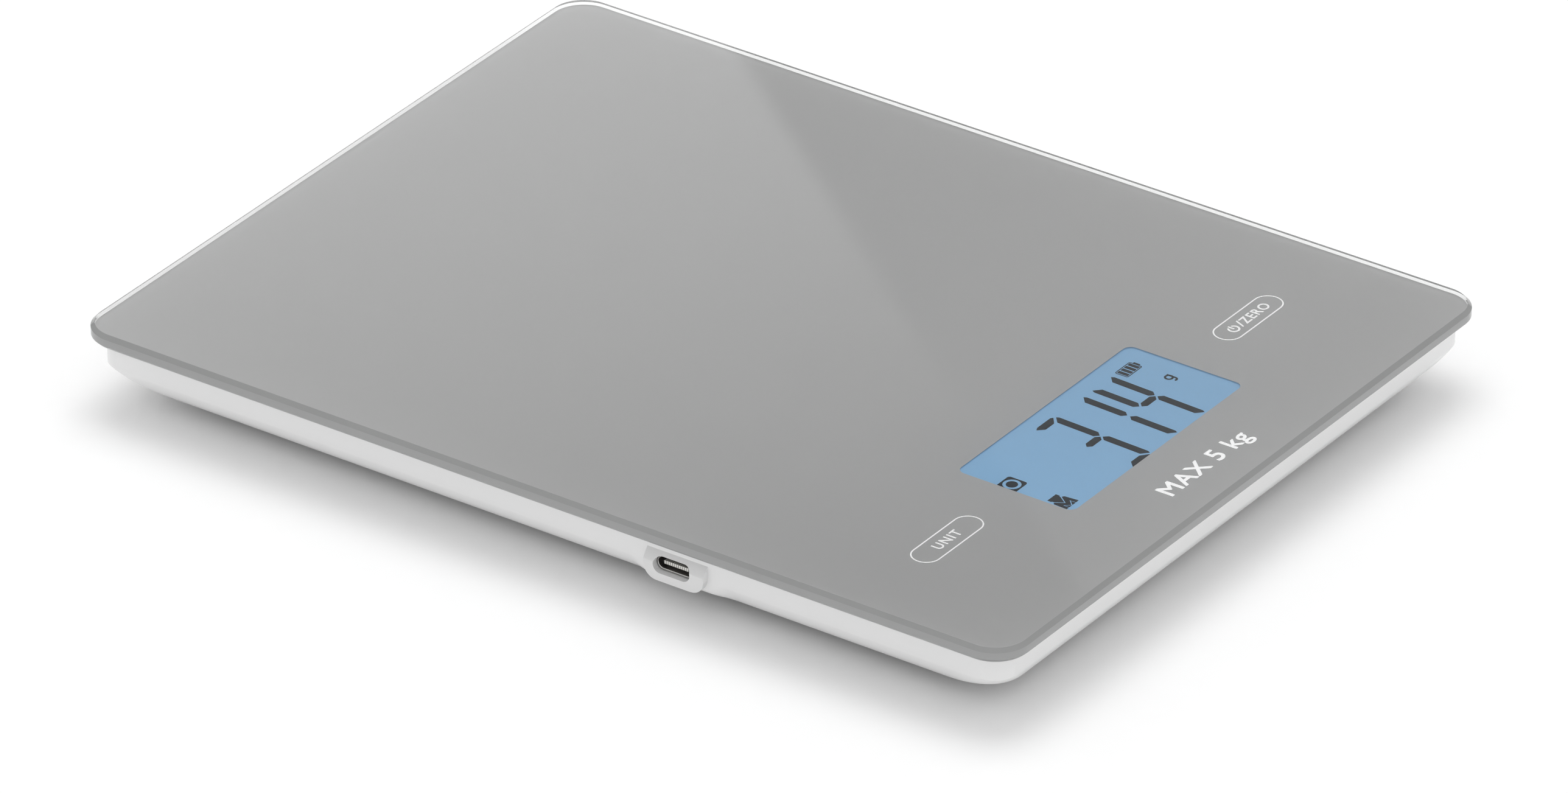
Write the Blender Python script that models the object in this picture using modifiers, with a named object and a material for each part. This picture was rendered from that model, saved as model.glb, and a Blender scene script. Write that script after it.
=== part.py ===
"""A flat digital kitchen scale: a glass platform bonded to a shallow plastic base on four load-cell feet.

Metres, +Z up. The origin is on the floor under the middle of the glass. The user stands at -Y, the
display and the two touch keys are at that end, and the charging port is in the left side, at -X.
"""

from math import cos, pi, radians, sin

import bmesh
import bpy
from mathutils import Matrix, Vector

MM = 0.001

# Driving dimensions
GLASS_WIDTH = 175 * MM  # along X
GLASS_DEPTH = 230 * MM  # along Y
GLASS_THICKNESS = 3.2 * MM
GLASS_CORNER = 8 * MM
GLASS_CHAMFERS = (0.7 * MM, 0.85 * MM)  # under and upper
TOTAL_HEIGHT = 19 * MM
GAP = 0.3 * MM  # between pieces that touch or rest on each other

# Base shell: a straight side wall, then a belly that curves in to a flat bottom
WALL_INSET = 3.2 * MM  # from the glass outline
WALL_CORNER = 5 * MM
CREASE_HEIGHT = 9.9 * MM  # where the straight wall turns into the belly
BELLY_RADIUS = 12.75 * MM
BELLY_START = 23  # degrees that the belly leans in at the crease
BELLY_STEPS = (23, 31, 39, 47, 55, 65, 76, 90)
SHELL_THICKNESS = 2 * MM
CAVITY_INSET = 7.4 * MM
CAVITY_CORNER = 4 * MM
CORNER_GROWTH = 1.6  # how much a corner radius grows for each unit that the belly leans in
TAPE_LEDGE = 14 * MM
LIP_THICKNESS = 1 * MM
CORNER_SEGMENTS = 6

GLASS_BOTTOM = TOTAL_HEIGHT - GLASS_THICKNESS
RIM_TOP = GLASS_BOTTOM - GAP
BELLY_CENTRE_INSET = WALL_INSET + BELLY_RADIUS * cos(radians(BELLY_START))
BELLY_CENTRE_HEIGHT = CREASE_HEIGHT + BELLY_RADIUS * sin(radians(BELLY_START))
SHELL_BOTTOM = BELLY_CENTRE_HEIGHT - BELLY_RADIUS
FLOOR = SHELL_BOTTOM + SHELL_THICKNESS

# Charging port in the left wall
PORT_Y = -33.1 * MM
PORT_HEIGHT = 10.5 * MM
PORT_HOLE = (9.0 * MM, 3.5 * MM)
PORT_BOSS_HALF_WIDTH = 7.35 * MM
PORT_BOSS_TOP = 13.2 * MM
PORT_BOSS_FOLD = 11 * MM  # the face slopes out of the wall from the top to here, then drops straight
PORT_BOSS_BOTTOM = 6.9 * MM
PORT_BOSS_CORNER = 3.2 * MM
PORT_BOSS_PROUD = 1.6 * MM
PORT_RECESS = 1.5 * MM  # from the boss face to the mouth of the socket
PORT_POCKET_DEPTH = 2.7 * MM  # from the boss face to the pocket inside the wall
PORT_BOSS_SHIFT = -0.5 * MM  # the boss stands a little off the centre of the slot
WALL_FACE = -GLASS_WIDTH / 2 + WALL_INSET
SOCKET_MOUTH = WALL_FACE - PORT_BOSS_PROUD + PORT_RECESS
SOCKET_SIZE = (8.65 * MM, 8.94 * MM, 3.16 * MM)
SOCKET_WALL = 0.3 * MM
CHARGE_BOARD_TOP = PORT_HEIGHT - SOCKET_SIZE[2] / 2 - GAP

# Display and touch keys at the user's end
WINDOW_Y = -78.5 * MM
LCD_SIZE = (67 * MM, 32 * MM, 1.8 * MM)
BOARD_SIZE = (126 * MM, 41 * MM, 1.2 * MM)
BOARD_BOTTOM = 10.4 * MM
BOARD_TOP = BOARD_BOTTOM + BOARD_SIZE[2]
LCD_FRAME_WALL = 1.5 * MM
KEY_X = 54.35 * MM
KEY_Y = -78.2 * MM

# Feet and load cells
FOOT_X = 57 * MM
FOOT_Y = 84.5 * MM
FOOT_RADIUS = 10 * MM
FOOT_HOLE_RADIUS = 10.5 * MM
FLANGE_RADIUS = 12 * MM
PAD_THICKNESS = 1.6 * MM
CELL_SIDE = 27 * MM
CELL_THICKNESS = 1.2 * MM
CELL_BOTTOM = 7 * MM
HOLDER_SIDE = 31 * MM
HOLDER_TOP = 8.6 * MM
EAR_REACH = 18.3 * MM  # from the foot's axis to a holder screw
EAR_TOP = 8.4 * MM
FOOT_TRAVEL_GAP = 0.5 * MM  # free height over the foot's button, more than its travel

POST_RADIUS = 2.4 * MM
SCREW_RADIUS = 0.9 * MM
SCREW_HOLE_RADIUS = 1.25 * MM
RIB_X = 22 * MM

COLOURS = {  # base colour, roughness, metallic
    "glass": ((0.36, 0.36, 0.36), 0.05, 0.0),
    "housing_white": ((0.78, 0.78, 0.78), 0.35, 0.0),
    "foam_tape": ((0.12, 0.12, 0.12), 0.9, 0.0),
    "steel": ((0.62, 0.62, 0.63), 0.3, 1.0),
    "black_plastic": ((0.03, 0.03, 0.03), 0.5, 0.0),
    "circuit_board": ((0.02, 0.16, 0.07), 0.4, 0.0),
    "lcd_glass": ((0.21, 0.38, 0.58), 0.1, 0.0),
    "light_guide": ((0.75, 0.85, 0.92), 0.3, 0.0),
    "white_plastic": ((0.7, 0.7, 0.68), 0.45, 0.0),
    "gauge_coat": ((0.8, 0.78, 0.7), 0.6, 0.0),
    "foot_plastic": ((0.55, 0.55, 0.56), 0.5, 0.0),
    "foot_rubber": ((0.2, 0.2, 0.21), 0.85, 0.0),
    "battery_wrap": ((0.55, 0.56, 0.58), 0.35, 0.3),
    "wire_red": ((0.5, 0.02, 0.02), 0.45, 0.0),
    "wire_black": ((0.02, 0.02, 0.02), 0.45, 0.0),
    "wire_grey": ((0.3, 0.3, 0.32), 0.45, 0.0),
}


def clear_scene():
    for obj in list(bpy.data.objects):
        bpy.data.objects.remove(obj)


def new_collection(name):
    collection = bpy.data.collections.new(name)
    bpy.context.scene.collection.children.link(collection)
    return collection


def material(name):
    """The named material, made on its first use."""
    found = bpy.data.materials.get(name)
    if found:
        return found
    colour, roughness, metallic = COLOURS[name]
    made = bpy.data.materials.new(name)
    made.use_nodes = True
    shader = made.node_tree.nodes["Principled BSDF"]
    shader.inputs["Base Color"].default_value = (*colour, 1)
    shader.inputs["Roughness"].default_value = roughness
    shader.inputs["Metallic"].default_value = metallic
    return made


def add_piece(name, mesh, material_name, location=(0, 0, 0), parent=None):
    """A piece of the scale in the main collection, shaded smooth where it is round."""
    obj = bpy.data.objects.new(name, mesh)
    bpy.data.collections["kitchen_scale"].objects.link(obj)
    obj.location = location
    obj.parent = parent
    if mesh.polygons:
        mesh.shade_smooth()
        mesh.set_sharp_from_angle(angle=radians(35))
    mesh.materials.clear()
    mesh.materials.append(material(material_name))
    return obj


def add_tool(name, mesh):
    """A shape that only cuts or joins, left out of the model."""
    obj = bpy.data.objects.new(name, mesh)
    bpy.data.collections["tools"].objects.link(obj)
    obj.hide_render = True
    obj.display_type = "WIRE"
    return obj


def combine(obj, tool, operation="DIFFERENCE"):
    modifier = obj.modifiers.new(f"{operation.lower()} {tool.name}", "BOOLEAN")
    modifier.operation = operation
    modifier.object = tool
    modifier.solver = "EXACT"


def mesh_of(name, bm):
    mesh = bpy.data.meshes.new(name)
    bm.to_mesh(mesh)
    bm.free()
    return mesh


def block_into(bm, size, centre, corner=0.0, segments=4):
    """Adds a box to a bmesh, with its upright edges rounded where a corner radius is given."""
    made = bmesh.ops.create_cube(bm, size=1, matrix=Matrix.Translation(centre) @ Matrix.Diagonal((*size, 1)))
    if corner:
        edges = {e for v in made["verts"] for e in v.link_edges}
        upright = [e for e in edges if abs(e.verts[0].co.z - e.verts[1].co.z) > size[2] / 2]
        bmesh.ops.bevel(bm, geom=upright, offset=corner, segments=segments, profile=0.5, affect="EDGES")


def block(name, size, corner=0.0, segments=4):
    bm = bmesh.new()
    block_into(bm, size, (0, 0, 0), corner, segments)
    return mesh_of(name, bm)


def rod_into(bm, radius, low, high, x, y, sides=16):
    """Adds an upright cylinder to a bmesh, from height low to height high."""
    bmesh.ops.create_cone(
        bm,
        cap_ends=True,
        segments=sides,
        radius1=radius,
        radius2=radius,
        depth=high - low,
        matrix=Matrix.Translation((x, y, (low + high) / 2)),
    )


def turned(name, profile, steps=28):
    """A mesh turned about Z from (radius, height) points that run down its outer side, top to bottom."""
    mesh = bpy.data.meshes.new(name)
    points = [(radius, 0, height) for radius, height in profile]
    mesh.from_pydata(points, [(i, i + 1) for i in range(len(points) - 1)], [])

    def screw(obj):
        modifier = obj.modifiers.new("turn", "SCREW")
        modifier.angle = 2 * pi
        modifier.steps = modifier.render_steps = steps
        modifier.use_merge_vertices = True
        modifier.merge_threshold = 0.01 * MM
        modifier.use_smooth_shade = True

    return mesh, screw


def add_turned(name, profile, material_name, location, parent=None, steps=28):
    mesh, screw = turned(name, profile, steps)
    obj = add_piece(name, mesh, material_name, location, parent)
    screw(obj)
    return obj


def ring_points(inset, corner, height, segments=CORNER_SEGMENTS):
    """A rounded rectangle inset from the glass outline, anticlockwise from above."""
    half_x = GLASS_WIDTH / 2 - inset - corner
    half_y = GLASS_DEPTH / 2 - inset - corner
    quarters = ((half_x, half_y, 0), (-half_x, half_y, 90), (-half_x, -half_y, 180), (half_x, -half_y, 270))
    points = []
    for centre_x, centre_y, start in quarters:
        for i in range(segments + 1):
            angle = radians(start + 90 * i / segments)
            points.append(Vector((centre_x + corner * cos(angle), centre_y + corner * sin(angle), height)))
    return points


def loft(name, sections):
    """A closed solid through rounded rectangles given as (inset, corner, height), lowest first."""
    bm = bmesh.new()
    rings = [[bm.verts.new(point) for point in ring_points(*section)] for section in sections]
    for lower, upper in zip(rings, rings[1:]):
        for i in range(len(lower)):
            j = (i + 1) % len(lower)
            bm.faces.new((lower[i], lower[j], upper[j], upper[i]))
    bm.faces.new(reversed(rings[0]))
    bm.faces.new(rings[-1])
    return mesh_of(name, bm)


def belly_section(angle, thickness, corner_at, corner):
    """The belly's section where it leans in by an angle, on its outside or a thickness inside it."""
    radius = BELLY_RADIUS - thickness
    inset = BELLY_CENTRE_INSET - radius * cos(radians(angle))
    height = BELLY_CENTRE_HEIGHT - radius * sin(radians(angle))
    return inset, corner + CORNER_GROWTH * (inset - corner_at), height


def shell_outside():
    belly = [belly_section(angle, 0, WALL_INSET, WALL_CORNER) for angle in BELLY_STEPS]
    return loft("base_shell", belly[::-1] + [(WALL_INSET, WALL_CORNER, RIM_TOP)])


def shell_cavity():
    """The inside of the base, straight from the rim down to where it meets the belly's inner face."""
    steps = [angle for angle in BELLY_STEPS if angle > 50]
    belly = [belly_section(angle, SHELL_THICKNESS, CAVITY_INSET, CAVITY_CORNER) for angle in steps]
    above = RIM_TOP + 1 * MM
    straight = [(CAVITY_INSET, CAVITY_CORNER, 7.5 * MM), (CAVITY_INSET, CAVITY_CORNER, above)]
    return loft("cavity", belly[::-1] + straight)


def stadium_into(bm, width, height, x_low, x_high, y, z, segments=8):
    """Adds a slot with round ends to a bmesh, lying along X, with its width along Y."""
    reach = width / 2 - height / 2
    outline = []
    for side in (1, -1):
        for i in range(segments + 1):
            angle = radians(-90 + 180 * i / segments)
            outline.append((y + side * (reach + height / 2 * cos(angle)), z + side * height / 2 * sin(angle)))
    near = [bm.verts.new((x_low, *point)) for point in outline]
    face = bm.faces.new(near)
    face.normal_update()
    pushed = bmesh.ops.extrude_face_region(bm, geom=[face])
    moved = [v for v in pushed["geom"] if isinstance(v, bmesh.types.BMVert)]
    bmesh.ops.translate(bm, verts=moved, vec=(x_high - x_low, 0, 0))
    bmesh.ops.recalc_face_normals(bm, faces=bm.faces[:])


def port_boss():
    """The block round the port: flush with the wall at its top, standing proud of it round the hole."""
    half, corner, low = PORT_BOSS_HALF_WIDTH, PORT_BOSS_CORNER, PORT_BOSS_BOTTOM
    proud_x = WALL_FACE - PORT_BOSS_PROUD
    flush_x = WALL_FACE + 0.1 * MM
    inner_x = WALL_FACE + 3.5 * MM
    middle = PORT_Y + PORT_BOSS_SHIFT
    lower = [(middle - half, PORT_BOSS_FOLD)]
    for side, start in ((-1, 180), (1, 270)):
        for i in range(6):
            angle = radians(start + 90 * i / 5)
            centre_y = middle + side * (half - corner)
            lower.append((centre_y + corner * cos(angle), low + corner + corner * sin(angle)))
    lower.append((middle + half, PORT_BOSS_FOLD))
    top = [(middle + half, PORT_BOSS_TOP), (middle - half, PORT_BOSS_TOP)]
    bm = bmesh.new()
    front = [bm.verts.new((proud_x, y, z)) for y, z in lower]
    front += [bm.verts.new((flush_x, y, z)) for y, z in top]
    back = [bm.verts.new((inner_x, y, z)) for y, z in lower + top]
    bm.faces.new(front[: len(lower)])
    bm.faces.new((front[0], front[-1], front[-2], front[-3]))
    bm.faces.new(back)
    for i in range(len(front)):
        j = (i + 1) % len(front)
        bm.faces.new((front[j], front[i], back[i], back[j]))
    bmesh.ops.recalc_face_normals(bm, faces=bm.faces[:])
    return mesh_of("port_boss", bm)


def corners():
    """Name, X and Y of each foot's axis."""
    for end, y in (("front", -FOOT_Y), ("rear", FOOT_Y)):
        for side, x in (("left", -FOOT_X), ("right", FOOT_X)):
            yield f"{end}_{side}", x, y


def ear_places(x, y):
    """A holder's two screws: one towards the middle along X, one towards the middle along Y."""
    inward_x = -1 if x > 0 else 1
    inward_y = -1 if y > 0 else 1
    return (x + inward_x * EAR_REACH, y), (x, y + inward_y * EAR_REACH)


def board_screw_places():
    return [(x, WINDOW_Y + dy) for x in (-39 * MM, 39 * MM) for dy in (-15.5 * MM, 13 * MM)]


def charge_screw_places():
    return [(-67.5 * MM, PORT_Y - 6.2 * MM), (-67.5 * MM, PORT_Y + 6.2 * MM)]


def post_heights():
    """Every screw post on the shell's floor as (x, y, top)."""
    posts = [(*place, EAR_TOP - 1.5 * MM - GAP) for _, x, y in corners() for place in ear_places(x, y)]
    posts += [(*place, BOARD_BOTTOM - GAP) for place in board_screw_places()]
    posts += [(*place, CHARGE_BOARD_TOP - BOARD_SIZE[2] - GAP) for place in charge_screw_places()]
    return posts


def shell_additions():
    """Screw posts, and the ribs that carry the middle of the glass and box in the battery."""
    bm = bmesh.new()
    root = SHELL_BOTTOM + 1 * MM
    for x, y, top in post_heights():
        rod_into(bm, POST_RADIUS, root, top, x, y)
    rib_height = RIM_TOP - 0.5 * MM - root
    for x in (-RIB_X, RIB_X):
        block_into(bm, (1.6 * MM, 140 * MM, rib_height), (x, 30 * MM, root + rib_height / 2))
    return mesh_of("posts_and_ribs", bm)


def shell_cuts():
    """Foot holes, pilot holes in the posts, and the pocket that takes the socket."""
    bm = bmesh.new()
    for _, x, y in corners():
        rod_into(bm, FOOT_HOLE_RADIUS, SHELL_BOTTOM - 1 * MM, FLOOR + 1 * MM, x, y, sides=32)
    for x, y, top in post_heights():
        rod_into(bm, SCREW_HOLE_RADIUS, SHELL_BOTTOM + 1.4 * MM, top + 1 * MM, x, y, sides=12)
    pocket = (6 * MM, SOCKET_SIZE[1] + 1.2 * MM, SOCKET_SIZE[2] + 1.2 * MM)
    pocket_front = WALL_FACE - PORT_BOSS_PROUD + PORT_POCKET_DEPTH
    block_into(bm, pocket, (pocket_front + pocket[0] / 2, PORT_Y, PORT_HEIGHT))
    return mesh_of("shell_cuts", bm)


def port_hole():
    """The slot with round ends through the boss, down to the mouth of the socket."""
    bm = bmesh.new()
    stadium_into(bm, *PORT_HOLE, WALL_FACE - 4 * MM, SOCKET_MOUTH + 0.1 * MM, PORT_Y, PORT_HEIGHT)
    return mesh_of("port_hole", bm)


def socket_seat():
    """The slightly wider bore behind the slot that clears the socket, through into its pocket."""
    bm = bmesh.new()
    stop = WALL_FACE - PORT_BOSS_PROUD + PORT_POCKET_DEPTH + 0.2 * MM
    seat = (SOCKET_SIZE[1] + 2 * GAP, SOCKET_SIZE[2] + 2 * GAP)
    stadium_into(bm, *seat, SOCKET_MOUTH - GAP, stop, PORT_Y, PORT_HEIGHT)
    return mesh_of("socket_seat", bm)


def build_glass():
    low, high = GLASS_BOTTOM, TOTAL_HEIGHT
    under, upper = GLASS_CHAMFERS
    sections = [
        (under, GLASS_CORNER - under, low),
        (0, GLASS_CORNER, low + under),
        (0, GLASS_CORNER, high - upper),
        (upper, GLASS_CORNER - upper, high),
    ]
    add_piece("glass_platform", loft("glass_platform", sections), "glass")


def build_tape():
    """The double-sided tape frame that bonds the glass to the ledge inside the shell's lip."""
    low = TAPE_LEDGE + GAP
    high = GLASS_BOTTOM - GAP
    outer = WALL_INSET + LIP_THICKNESS + GAP
    outline = [(outer, 4.2 * MM, low), (outer, 4.2 * MM, high)]
    tape = add_piece("bond_tape", loft("bond_tape", outline), "foam_tape")
    inner = CAVITY_INSET - GAP
    hole = [(inner, CAVITY_CORNER, low - 1 * MM), (inner, CAVITY_CORNER, high + 1 * MM)]
    combine(tape, add_tool("tape_opening", loft("tape_opening", hole)))


def build_shell():
    shell = add_piece("base_shell", shell_outside(), "housing_white")
    combine(shell, add_tool("port_boss", port_boss()), "UNION")
    combine(shell, add_tool("cavity", shell_cavity()))
    ledge = WALL_INSET + LIP_THICKNESS
    recess = [(ledge, 4.5 * MM, TAPE_LEDGE), (ledge, 4.5 * MM, RIM_TOP + 1 * MM)]
    combine(shell, add_tool("tape_recess", loft("tape_recess", recess)))
    combine(shell, add_tool("posts_and_ribs", shell_additions()), "UNION")
    combine(shell, add_tool("shell_cuts", shell_cuts()))
    combine(shell, add_tool("port_hole", port_hole()))
    combine(shell, add_tool("socket_seat", socket_seat()))


def build_screw(name, x, y, seat, length):
    """A pan-head screw standing on a seat height, with a cross recess in its head."""
    head = 1.9 * MM
    profile = [
        (0, 1.1 * MM),
        (1.2 * MM, 1.0 * MM),
        (head, 0.55 * MM),
        (head, 0),
        (SCREW_RADIUS, 0),
        (SCREW_RADIUS, -length + 0.6 * MM),
        (0, -length),
    ]
    screw = add_turned(name, profile, "steel", (x, y, seat), steps=12)
    bm = bmesh.new()
    for size in ((2 * MM, 0.45 * MM, 1 * MM), (0.45 * MM, 2 * MM, 1 * MM)):
        block_into(bm, size, (x, y, seat + 1.1 * MM))
    bmesh.ops.rotate(bm, cent=(x, y, seat), matrix=Matrix.Rotation(radians(20), 3, "Z"), verts=bm.verts)
    recess = add_tool(f"recess_{name}", mesh_of(f"recess_{name}", bm))
    combine(screw, recess)
    screw.modifiers[-1].use_self = True


def build_foot(name, x, y):
    """A foot that slides up against its load cell, with a rubber pad under it, both on the foot's axis."""
    axis = bpy.data.objects.new(f"foot_axis_{name}", None)
    bpy.data.collections["kitchen_scale"].objects.link(axis)
    axis.location = (x, y, 0)
    pad_top = PAD_THICKNESS
    disc_low = pad_top + GAP
    flange_low = FLOOR + GAP
    flange_high = flange_low + 1 * MM
    button_top = CELL_BOTTOM - FOOT_TRAVEL_GAP
    foot_profile = [
        (0, button_top),
        (3 * MM, button_top),
        (3.5 * MM, button_top - 0.5 * MM),
        (3.5 * MM, flange_high),
        (FLANGE_RADIUS, flange_high),
        (FLANGE_RADIUS, flange_low),
        (FOOT_RADIUS - 0.4 * MM, flange_low),
        (FOOT_RADIUS - 0.4 * MM, SHELL_BOTTOM),
        (FOOT_RADIUS, SHELL_BOTTOM - 0.2 * MM),
        (FOOT_RADIUS, disc_low),
        (0, disc_low),
    ]
    add_turned(f"foot_{name}", foot_profile, "foot_plastic", (0, 0, 0), axis)
    pad_radius = FOOT_RADIUS - 1 * MM
    pad_profile = [
        (0, pad_top),
        (pad_radius, pad_top),
        (pad_radius, 0.5 * MM),
        (pad_radius - 0.5 * MM, 0),
        (0, 0),
    ]
    add_turned(f"foot_pad_{name}", pad_profile, "foot_rubber", (0, 0, 0), axis)


def build_load_cell(name, x, y):
    """A stamped strain plate: a square frame round a tongue that stands over the foot's button."""
    inward = 1 if y < 0 else -1
    plate = block("load_cell", (CELL_SIDE, CELL_SIDE, CELL_THICKNESS), 2 * MM, 2)
    cell = add_piece(f"load_cell_{name}", plate, "steel", (x, y, CELL_BOTTOM + CELL_THICKNESS / 2))
    bm = bmesh.new()
    slot, reach, deep = 1.6 * MM, 7.5 * MM, 4 * MM
    height = CELL_BOTTOM + CELL_THICKNESS / 2
    for side in (-1, 1):
        block_into(bm, (slot, 2 * reach, deep), (x + side * reach, y, height))
    end_y = y - inward * (reach - slot / 2)
    block_into(bm, (2 * reach - slot - 0.2 * MM, slot, deep), (x, end_y, height))
    tool = add_tool(f"slot_{name}", mesh_of(f"slot_{name}", bm))
    combine(cell, tool)
    cell.modifiers[-1].use_self = True
    gauge_height = CELL_BOTTOM + CELL_THICKNESS + GAP + 0.25 * MM
    gauge = block("strain_gauge", (6 * MM, 8 * MM, 0.5 * MM), 1 * MM, 2)
    add_piece(f"strain_gauge_{name}", gauge, "gauge_coat", (x, y + inward * 1.5 * MM, gauge_height))


def build_holder(name, x, y):
    """The plastic frame that carries a load cell's outer edge over the foot's flange, with two screw ears."""
    low = FLOOR + GAP
    frame = block("holder", (HOLDER_SIDE, HOLDER_SIDE, HOLDER_TOP - low), 4.5 * MM, 4)
    holder = add_piece(f"load_cell_holder_{name}", frame, "white_plastic", (x, y, (low + HOLDER_TOP) / 2))
    ears = bmesh.new()
    ear_low = EAR_TOP - 1.5 * MM
    for ear_x, ear_y in ear_places(x, y):
        rod_into(ears, 2.6 * MM, ear_low, EAR_TOP, ear_x, ear_y)
    arms = bmesh.new()
    arm = EAR_REACH - 14 * MM
    for ear_x, ear_y in ear_places(x, y):
        reach_x, reach_y = ear_x - x, ear_y - y
        size = (arm if reach_x else 5.2 * MM, arm if reach_y else 5.2 * MM, 1.5 * MM)
        share = (EAR_REACH + 14 * MM) / (2 * EAR_REACH)
        block_into(arms, size, (x + reach_x * share, y + reach_y * share, ear_low + 0.75 * MM))
    combine(holder, add_tool(f"arms_{name}", mesh_of(f"arms_{name}", arms)), "UNION")
    combine(holder, add_tool(f"ears_{name}", mesh_of(f"ears_{name}", ears)), "UNION")
    cuts = bmesh.new()
    rod_into(cuts, FLANGE_RADIUS + 0.5 * MM, low - 1 * MM, HOLDER_TOP + 1 * MM, x, y, sides=32)
    pocket = CELL_SIDE + 2 * GAP
    pocket_low = CELL_BOTTOM - GAP
    block_into(cuts, (pocket, pocket, 4 * MM), (x, y, pocket_low + 2 * MM), 2 * MM, 2)
    for ear_x, ear_y in ear_places(x, y):
        rod_into(cuts, SCREW_HOLE_RADIUS, ear_low - 1 * MM, EAR_TOP + 1 * MM, ear_x, ear_y, sides=12)
    combine(holder, add_tool(f"holder_cuts_{name}", mesh_of(f"holder_cuts_{name}", cuts)))
    holder.modifiers[-1].use_self = True
    for number, (ear_x, ear_y) in enumerate(ear_places(x, y), 1):
        build_screw(f"holder_screw_{name}_{number}", ear_x, ear_y, EAR_TOP + GAP, 4.2 * MM)


def build_charging_port():
    """The USB socket, its tongue, and the small charging board on two posts behind it."""
    length, width, height = SOCKET_SIZE
    bm = bmesh.new()
    stadium_into(bm, width, height, SOCKET_MOUTH, SOCKET_MOUTH + length, PORT_Y, PORT_HEIGHT)
    socket = add_piece("usb_socket_shell", mesh_of("usb_socket_shell", bm), "steel")
    bm = bmesh.new()
    bore = (width - 2 * SOCKET_WALL, height - 2 * SOCKET_WALL)
    back_wall = 0.8 * MM
    stadium_into(bm, *bore, SOCKET_MOUTH - 1 * MM, SOCKET_MOUTH + length - back_wall, PORT_Y, PORT_HEIGHT)
    combine(socket, add_tool("socket_bore", mesh_of("socket_bore", bm)))
    tongue = (length - back_wall - 0.7 * MM, 6.7 * MM, 0.7 * MM)
    centre_x = SOCKET_MOUTH + 0.4 * MM + tongue[0] / 2
    add_piece("usb_tongue", block("usb_tongue", tongue), "black_plastic", (centre_x, PORT_Y, PORT_HEIGHT))

    board = (16 * MM, 20 * MM, BOARD_SIZE[2])
    board_x = SOCKET_MOUTH + 5.5 * MM + board[0] / 2
    charge_board = add_piece(
        "charge_board",
        block("charge_board", board, 0.8 * MM, 1),
        "circuit_board",
        (board_x, PORT_Y, CHARGE_BOARD_TOP - board[2] / 2),
    )
    bm = bmesh.new()
    for x, y in charge_screw_places():
        rod_into(bm, SCREW_HOLE_RADIUS, 5 * MM, 14 * MM, x, y, sides=12)
        build_screw(f"charge_screw_{'a' if y < PORT_Y else 'b'}", x, y, CHARGE_BOARD_TOP + GAP, 4.2 * MM)
    combine(charge_board, add_tool("charge_board_holes", mesh_of("charge_board_holes", bm)))
    chip = (4 * MM, 5 * MM, 1.2 * MM)
    chip_x = board_x + 2.5 * MM
    chip_z = CHARGE_BOARD_TOP + GAP + chip[2] / 2
    chip_mesh = block("charge_chip", chip, 0.3 * MM, 1)
    add_piece("charge_chip", chip_mesh, "black_plastic", (chip_x, PORT_Y, chip_z))


def build_display():
    """Main board on its posts, with the display, its light guide and frame, and the touch key springs."""
    board = add_piece(
        "main_board",
        block("main_board", BOARD_SIZE, 2 * MM, 2),
        "circuit_board",
        (0, WINDOW_Y, BOARD_BOTTOM + BOARD_SIZE[2] / 2),
    )
    bm = bmesh.new()
    for number, (x, y) in enumerate(board_screw_places(), 1):
        rod_into(bm, SCREW_HOLE_RADIUS, BOARD_BOTTOM - 1 * MM, BOARD_TOP + 1 * MM, x, y, sides=12)
        build_screw(f"board_screw_{number}", x, y, BOARD_TOP + GAP, 4.6 * MM)
    combine(board, add_tool("board_holes", mesh_of("board_holes", bm)))

    panel_low = GLASS_BOTTOM - GAP - LCD_SIZE[2]
    panel_z = panel_low + LCD_SIZE[2] / 2
    add_piece("lcd_panel", block("lcd_panel", LCD_SIZE), "lcd_glass", (0, WINDOW_Y, panel_z))
    guide_low = BOARD_TOP + GAP
    guide_height = panel_low - GAP - guide_low
    strip_depth = 2.6 * MM
    guide_depth = LCD_SIZE[1] - strip_depth - 1 * MM
    guide_y = WINDOW_Y - (LCD_SIZE[1] - guide_depth) / 2
    guide = block("lcd_light_guide", (LCD_SIZE[0], guide_depth, guide_height))
    add_piece("lcd_light_guide", guide, "light_guide", (0, guide_y, guide_low + guide_height / 2))
    strip = block("lcd_contact_strip", (LCD_SIZE[0] - 6 * MM, strip_depth, guide_height))
    strip_y = WINDOW_Y + LCD_SIZE[1] / 2 - strip_depth / 2
    add_piece("lcd_contact_strip", strip, "foam_tape", (0, strip_y, guide_low + guide_height / 2))

    frame_height = GLASS_BOTTOM - GAP - guide_low
    inside = (LCD_SIZE[0] + 2 * GAP, LCD_SIZE[1] + 2 * GAP)
    outside = (inside[0] + 2 * LCD_FRAME_WALL, inside[1] + 2 * LCD_FRAME_WALL, frame_height)
    frame_z = guide_low + frame_height / 2
    frame = block("lcd_frame", outside, 1 * MM, 2)
    lcd_frame = add_piece("lcd_frame", frame, "white_plastic", (0, WINDOW_Y, frame_z))
    bm = bmesh.new()
    block_into(bm, (*inside, 2 * frame_height), (0, WINDOW_Y, frame_z))
    combine(lcd_frame, add_tool("lcd_frame_opening", mesh_of("lcd_frame_opening", bm)))

    chip = block("controller_chip", (10 * MM, 10 * MM, 1.4 * MM), 0.4 * MM, 1)
    chip_z = BOARD_BOTTOM - GAP - 0.7 * MM
    add_piece("controller_chip", chip, "black_plastic", (-12 * MM, WINDOW_Y - 4 * MM, chip_z))
    header = (30 * MM, 5 * MM, 3.6 * MM)
    header_z = BOARD_BOTTOM - GAP - header[2] / 2
    add_piece("lead_header", block("lead_header", header), "white_plastic", (0, header_y(), header_z))
    for name, x in (("unit", -KEY_X), ("zero", KEY_X)):
        build_touch_spring(f"touch_spring_{name}", x)


def header_y():
    return WINDOW_Y + BOARD_SIZE[1] / 2 - 3 * MM


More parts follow.
